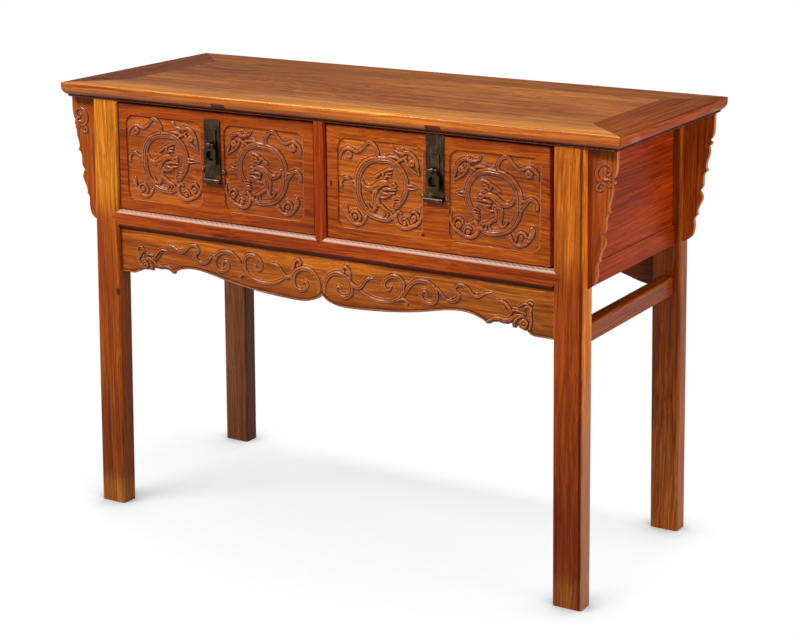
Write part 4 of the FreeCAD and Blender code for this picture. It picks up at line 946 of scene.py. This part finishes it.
def grown(name, tree, points, edges, values, body):
    """Run a geometry tree on points and edges in metres, and keep the result as a plain piece."""
    seed = bpy.data.meshes.new(name + "_line")
    seed.from_pydata(points, edges, [])
    holder = bpy.data.objects.new(name + "_line", seed)
    bpy.context.collection.objects.link(holder)
    modifier = holder.modifiers.new("shape", "NODES")
    modifier.node_group = tree
    for socket in tree.interface.items_tree:
        if socket.in_out == "INPUT" and socket.name in values:
            modifier[socket.identifier] = values[socket.name]
    evaluated = holder.evaluated_get(bpy.context.evaluated_depsgraph_get())
    mesh = bpy.data.meshes.new_from_object(evaluated)
    holder.modifiers.remove(modifier)
    bpy.data.objects.remove(holder)
    if not mesh.polygons:
        raise RuntimeError(f"{name} came out empty")
    mesh.name = name
    piece = bpy.data.objects.new(name, mesh)
    bpy.context.collection.objects.link(piece)
    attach(piece, body)
    return piece


def swept(name, tree, line, depth, radius, wood, body):
    """Sweep a bead along a line of across and up at one depth, in millimetres."""
    points = [(x * MM, depth * MM, z * MM) for x, z in line]
    edges = [(row, row + 1) for row in range(len(points) - 1)]
    grown(name, tree, points, edges, {"Radius": radius * MM, "Material": rosewood(wood)}, body)


class COFFER_OT_top(bpy.types.Operator):
    """Finish the framed top, its floating panel and its battens"""

    bl_idname = "coffer.top"
    bl_label = "Top"

    def execute(self, context):
        dress(rosewood("top_rail"), "top_front_rail")
        dress(rosewood("top_rear"), "top_rear_rail")
        dress(rosewood("left_end"), "top_left_end")
        dress(rosewood("right_end"), "top_right_end")
        dress(rosewood("panel"), "top_panel")
        dress(rosewood("tenon"), "top_batten_left", "top_batten_right")
        return {"FINISHED"}


class COFFER_OT_carcase(bpy.types.Operator):
    """Finish the legs, rails, posts, stretchers, panels and runners"""

    bl_idname = "coffer.carcase"
    bl_label = "Carcase"

    def execute(self, context):
        dress(rosewood("left_leg"), "leg_front_left")
        dress(rosewood("far_leg"), "leg_rear_left")
        dress(rosewood("right_leg"), "leg_front_right")
        dress(rosewood("rear_leg"), "leg_rear_right")
        dress(rosewood("rail"), "front_rail", "rear_rail")
        dress(rosewood("post"), "centre_post")
        dress(lining("up"), "rear_post")
        for side in SIDES:
            dress(rosewood("deep"), f"{side}_side_rail", f"{side}_side_panel")
            dress(rosewood("stretcher"), f"{side}_stretcher")
            dress(lining("across"), f"back_panel_{side}")
            dress(lining("deep"), f"{side}_runner")
        dress(lining("deep"), "centre_runner")
        return {"FINISHED"}


class COFFER_OT_drawers(bpy.types.Operator):
    """Finish the two drawers"""

    bl_idname = "coffer.drawers"
    bl_label = "Drawers"

    def execute(self, context):
        for side in SIDES:
            drawer = f"{side}_drawer"
            dress(rosewood(drawer), f"{drawer}_front")
            dress(lining("deep"), f"{drawer}_outer_side", f"{drawer}_inner_side", f"{drawer}_bottom")
            dress(lining("across"), f"{drawer}_back")
        return {"FINISHED"}


class COFFER_OT_roundels(bpy.types.Operator):
    """Carve a coiled dragon among scrolls in each drawer's two cartouches"""

    bl_idname = "coffer.roundels"
    bl_label = "Roundels"

    def execute(self, context):
        sizes = context.scene.coffer_carving
        carving = Carving(*ROUNDEL_FIELD, sizes.step / MM)
        coil = sizes.coil_height / MM
        scroll = sizes.scroll_height / MM
        carving.raise_lines(ROUNDEL_SCROLLS, scroll, SCROLL_FULLNESS)
        carving.raise_lines([ring_line(*eye) for eye in ROUNDEL_EYES], scroll)
        carving.raise_line(ROUNDEL_COIL, coil)
        coil_rows = smooth_line(ROUNDEL_COIL, GROOVE_STEP)
        heading = np.gradient(coil_rows[:, :2], axis=0)
        heading /= np.linalg.norm(heading, axis=1)[:, None]
        outward = np.column_stack([heading[:, 1], -heading[:, 0]])
        for offset in COIL_GROOVES:
            groove = coil_rows[:, :2] + outward * coil_rows[:, 2:3] * offset
            carving.cut_line(groove[GROOVE_TRIM], *DEEP_GROOVE)
        carving.raise_lines(ROUNDEL_MANE, scroll)
        carving.raise_lines(ROUNDEL_HEAD, coil, HEAD_FULLNESS)
        carving.raise_lines(ROUNDEL_LIMBS, scroll, LIMB_FULLNESS)
        for line in ROUNDEL_GROOVES:
            carving.cut_line(line, *FINE_GROOVE)

        # A pale bead as a painted highlight where the cartouche's edge catches the light: along the foot,
        # round the right corner and up the right side
        tree = bead_tree()
        half_x, half_z = CARTOUCHE_HALF
        corner = [(half_x - x, -half_z + z) for x, z in ((RIM_CORNER, 0), *RIM_STEPS, (0, RIM_CORNER))]
        highlight_rim = [(-half_x + RIM_CORNER, -half_z), *corner, (half_x, half_z - RIM_CORNER)]
        for side in SIDES:
            body = f"{side}_drawer"
            for place, middle in enumerate(CARTOUCHE_MIDDLES[side]):
                line = [(middle + x, CARTOUCHE_HEIGHT + z) for x, z in highlight_rim]
                swept(f"{side}_rim_{place + 1}", tree, line, DRAWER_FACE + RIM_INSET, RIM_RADIUS, "highlight_rim", body)
                carving.piece(f"{side}_roundel_{place + 1}", (middle, CARTOUCHE_HEIGHT), CARTOUCHE_FLOOR,
                              place == 1, rosewood(f"{side}_carving"), body)
        return {"FINISHED"}


class COFFER_OT_apron(bpy.types.Operator):
    """Finish the aprons, carve the front one's scroll and run a bead along its edge"""

    bl_idname = "coffer.apron"
    bl_label = "Apron"

    def execute(self, context):
        sizes = context.scene.coffer_carving
        dress(rosewood("apron"), "front_apron")
        dress(rosewood("rear"), "rear_apron")
        height = sizes.apron_height / MM
        for side in SIDES:
            carving = Carving(*APRON_FIELD, sizes.step / MM)
            shift = LEAF_SHIFTS[side]
            for row, line in enumerate(APRON_LINES):
                if side == "left" and row in STALK_ROWS:
                    continue
                leaf = line[0][0] > LEAF_START
                moved = [(across + shift, up, half * LEAF_THINNING) for across, up, half in line]
                carving.raise_line(moved if leaf and shift else line, height)
            if side == "left":
                carving.raise_line(LEFT_STALK, height)
            for row in APRON_GROOVED:
                carving.cut_line(smooth_line(APRON_LINES[row], GROOVE_STEP)[GROOVE_TRIM], *DEEP_GROOVE)
            across, up, radius, half = APRON_EYE
            carving.raise_line(ring_line(across + shift, up, radius, half), height)
            carving.raise_line([(across + shift + end, up, APRON_PUPIL) for end in (-0.5, 0.5)], height)
            carving.piece(f"apron_carving_{side}", (MIDDLE, 0.0), APRON_FACE, side == "left",
                          rosewood("apron_carving"), "carcase")

        # The bead along the lower edge, and a dark line of painted shade above it
        tree = bead_tree()
        half = smooth_line(APRON_EDGE, SWEPT_STEP)
        main = np.vstack([half[::-1] * (-1, 1), half[1:]])
        foot = smooth_line(APRON_FOOT, SWEPT_STEP)
        bead = sizes.bead_radius / MM
        for name, line in (("middle", main), ("left", foot[::-1] * (-1, 1)), ("right", foot)):
            for kind, rise, radius in (("bead", bead, bead), ("shade_line", 2 * bead + SHADE_LINE_GAP, SHADE_LINE_RADIUS)):
                depth = APRON_FACE + radius - bead * BEAD_PROUD
                moved = [(x + MIDDLE, z + rise) for x, z in line]
                swept(f"apron_{kind}_{name}", tree, moved, depth, radius, kind, "carcase")
        return {"FINISHED"}


class COFFER_OT_spandrels(bpy.types.Operator):
    """Finish the spandrels and carve the front ones' curls"""

    bl_idname = "coffer.spandrels"
    bl_label = "Spandrels"

    def execute(self, context):
        sizes = context.scene.coffer_carving
        carving = Carving(*SPANDREL_FIELD, sizes.step / MM)
        carving.raise_lines(SPANDREL_LINES, sizes.spandrel_height / MM)
        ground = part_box("spandrel_front_right")[0].y / MM
        tree = bead_tree()
        for side in SIDES:
            dress(rosewood(f"{side}_spandrel"), f"spandrel_front_{side}", f"spandrel_rear_{side}")
            middle = CURL_MIDDLES[side]
            carving.piece(f"spandrel_carving_{side}", (middle, 0.0), ground, side == "left",
                          rosewood(f"{side}_curl"), "carcase")
            outward = -1 if side == "left" else 1
            line = [(middle + out * outward, up) for out, up in smooth_line(SPANDREL_CUT, SWEPT_STEP)]
            swept(f"spandrel_cut_{side}", tree, line, ground + CUT_INSET, CUT_RADIUS, "shade_line", "carcase")
        return {"FINISHED"}


class COFFER_OT_locks(bpy.types.Operator):
    """Finish the locks and set their domed guide studs"""

    bl_idname = "coffer.locks"
    bl_label = "Locks"

    def execute(self, context):
        sizes = context.scene.coffer_carving
        tree = stud_tree()
        values = {"Radius": sizes.stud_radius, "Rise": sizes.stud_rise, "Material": dark_metal("studs")}
        for side in SIDES:
            for part in ("staple", "escutcheon", "guide_nails", "bolt", "drop_pull"):
                dress(dark_metal("aged"), f"{side}_lock_{part}")
            points = [((LOCK_MIDDLES[side] + away) * MM, DRAWER_FACE * MM, STUD_HEIGHT * MM)
                      for away in (-STUD_SPREAD, STUD_SPREAD)]
            studs = grown(f"{side}_guide_studs", tree, points, [], values, f"{side}_drawer")
            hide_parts(f"{side}_lock_guide_nails")
        return {"FINISHED"}


def seen_directly(nodes):
    """One where a ray comes straight from the camera, a gloss or a clear material."""
    path = nodes.add("ShaderNodeLightPath").outputs
    return nodes.most(nodes.most(path["Is Camera Ray"], path["Is Glossy Ray"]), path["Is Transmission Ray"])


def floor_finish(lift):
    """White floor, lifted to white as it is seen, with a painted shadow under the coffer and at its feet."""
    material, nodes, place = new_material("white_floor")
    away = nodes.length(place)
    across, deep, _ = nodes.parts(place)
    # The floor as seen loses its lamp-lit shade and the broad painted shadow behind and beside the coffer,
    # and partly towards its right
    behind = nodes.between(deep, 0.14, 0.26)
    beside = nodes.between(across, 0.48, 0.62)
    clear = nodes.most(nodes.between(across, -0.45, 0.45, 0.0, 0.40), nodes.most(behind, beside))
    seen = seen_directly(nodes)
    seen_paint = nodes.mix(clear, (0.20, 0.20, 0.20), (0.0, 0.0, 0.0))
    paint = nodes.add("ShaderNodeBsdfDiffuse", {"Color": nodes.mix(seen, (0.30, 0.30, 0.30), seen_paint)})
    # Painted shadow: the glow of the floor as seen is dimmed where the coffer closes it off from the room,
    # broadly under the coffer and closely at its feet
    broad = nodes.open_air(1.0, 16)
    near = nodes.open_air(0.08, 16)
    level = nodes.times(nodes.between(away, 0.8, 2.2, lift, 1.0), nodes.between(broad, 0.64, 0.90, 0.81, 1.0))
    level = nodes.scaled(nodes.less(1.0, level), clear, level)
    level = nodes.times(level, nodes.between(near, 0.40, 1.0, 0.48, 1.0))
    glow = nodes.add("ShaderNodeEmission", {"Strength": nodes.times(seen, level)})
    nodes.surface("ShaderNodeAddShader", {0: paint.outputs[0], 1: glow.outputs[0]})
    return material


def lamp(name, power, place, target, width, height):
    """A large soft lamp aimed at a point."""
    data = bpy.data.lights.new(name, "AREA")
    data.shape = "RECTANGLE"
    data.size = width
    data.size_y = height
    data.energy = power
    holder = bpy.data.objects.new(name, data)
    holder.location = place
    holder.rotation_euler = (Vector(target) - Vector(place)).to_track_quat("-Z", "Y").to_euler()
    bpy.context.collection.objects.link(holder)


class COFFER_OT_stage(bpy.types.Operator):
    """Set the camera, the lamps, the room light and the floor"""

    bl_idname = "coffer.stage"
    bl_label = "Stage"

    def execute(self, context):
        setup = context.scene.coffer_stage
        turn, dip = setup.azimuth, setup.elevation
        forward = Vector((-math.sin(turn) * math.cos(dip), math.cos(turn) * math.cos(dip), -math.sin(dip)))
        level = Vector((math.cos(turn), math.sin(turn), 0.0))
        upright = level.cross(forward)
        right = math.cos(setup.roll) * level + math.sin(setup.roll) * upright
        above = -math.sin(setup.roll) * level + math.cos(setup.roll) * upright
        data = bpy.data.cameras.new("camera")
        data.lens = setup.lens
        data.sensor_width = SENSOR_WIDTH
        camera = bpy.data.objects.new("camera", data)
        camera.matrix_world = Matrix.Translation(setup.place) @ Matrix(
            (right, above, -forward)).transposed().to_4x4()
        context.collection.objects.link(camera)
        context.scene.camera = camera

        mesh = bpy.data.meshes.new("floor")
        corners = [(x * FLOOR_REACH, y * FLOOR_REACH, 0.0) for x, y in ((-1, -1), (1, -1), (1, 1), (-1, 1))]
        mesh.from_pydata(corners, [], [(0, 1, 2, 3)])
        mesh.materials.append(floor_finish(setup.floor_lift))
        floor = bpy.data.objects.new("floor", mesh)
        context.collection.objects.link(floor)

        lamp("key_lamp", setup.key, *KEY_LAMP)
        lamp("side_lamp", setup.fill, *SIDE_LAMP)

        world = bpy.data.worlds.new("room")
        world.use_nodes = True
        world.node_tree.nodes.clear()
        nodes = Nodes(world.node_tree)
        light = nodes.add("ShaderNodeBackground", {"Color": (1.0, 1.0, 1.0, 1.0), "Strength": setup.sky})
        nodes.add("ShaderNodeOutputWorld", {"Surface": light.outputs[0]})
        context.scene.world = world
        context.scene.view_settings.view_transform = "Standard"
        return {"FINISHED"}


class COFFER_PT_panel(bpy.types.Panel):
    """Steps that dress the coffer"""

    bl_idname = "COFFER_PT_panel"
    bl_label = "Two-drawer coffer"
    bl_space_type = "VIEW_3D"
    bl_region_type = "UI"
    bl_category = "Coffer"

    def draw(self, context):
        for step in STEPS:
            self.layout.operator(step.bl_idname)
        for name in GROUPS:
            group = getattr(context.scene, name)
            box = self.layout.box()
            for setting in group.__annotations__:
                box.prop(group, setting)


STEPS = (COFFER_OT_top, COFFER_OT_carcase, COFFER_OT_drawers, COFFER_OT_roundels, COFFER_OT_apron,
         COFFER_OT_spandrels, COFFER_OT_locks, COFFER_OT_stage)
GROUPS = {"coffer_wood": WoodFinish, "coffer_metal": MetalFinish, "coffer_carving": CarvingSizes,
          "coffer_stage": StageSetup}


def register():
    """Register the settings, the steps and the panel."""
    for name, group in GROUPS.items():
        bpy.utils.register_class(group)
        setattr(bpy.types.Scene, name, bpy.props.PointerProperty(type=group))
    for step in STEPS:
        bpy.utils.register_class(step)
    bpy.utils.register_class(COFFER_PT_panel)


def unregister():
    """Take the panel, the steps and the settings away again."""
    bpy.utils.unregister_class(COFFER_PT_panel)
    for step in reversed(STEPS):
        bpy.utils.unregister_class(step)
    for name, group in GROUPS.items():
        delattr(bpy.types.Scene, name)
        bpy.utils.unregister_class(group)


def main():
    """Run every step in order."""
    register()
    bpy.ops.coffer.top()
    bpy.ops.coffer.carcase()
    bpy.ops.coffer.drawers()
    bpy.ops.coffer.roundels()
    bpy.ops.coffer.apron()
    bpy.ops.coffer.spandrels()
    bpy.ops.coffer.locks()
    bpy.ops.coffer.stage()
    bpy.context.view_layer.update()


if __name__ == "__main__":
    main()
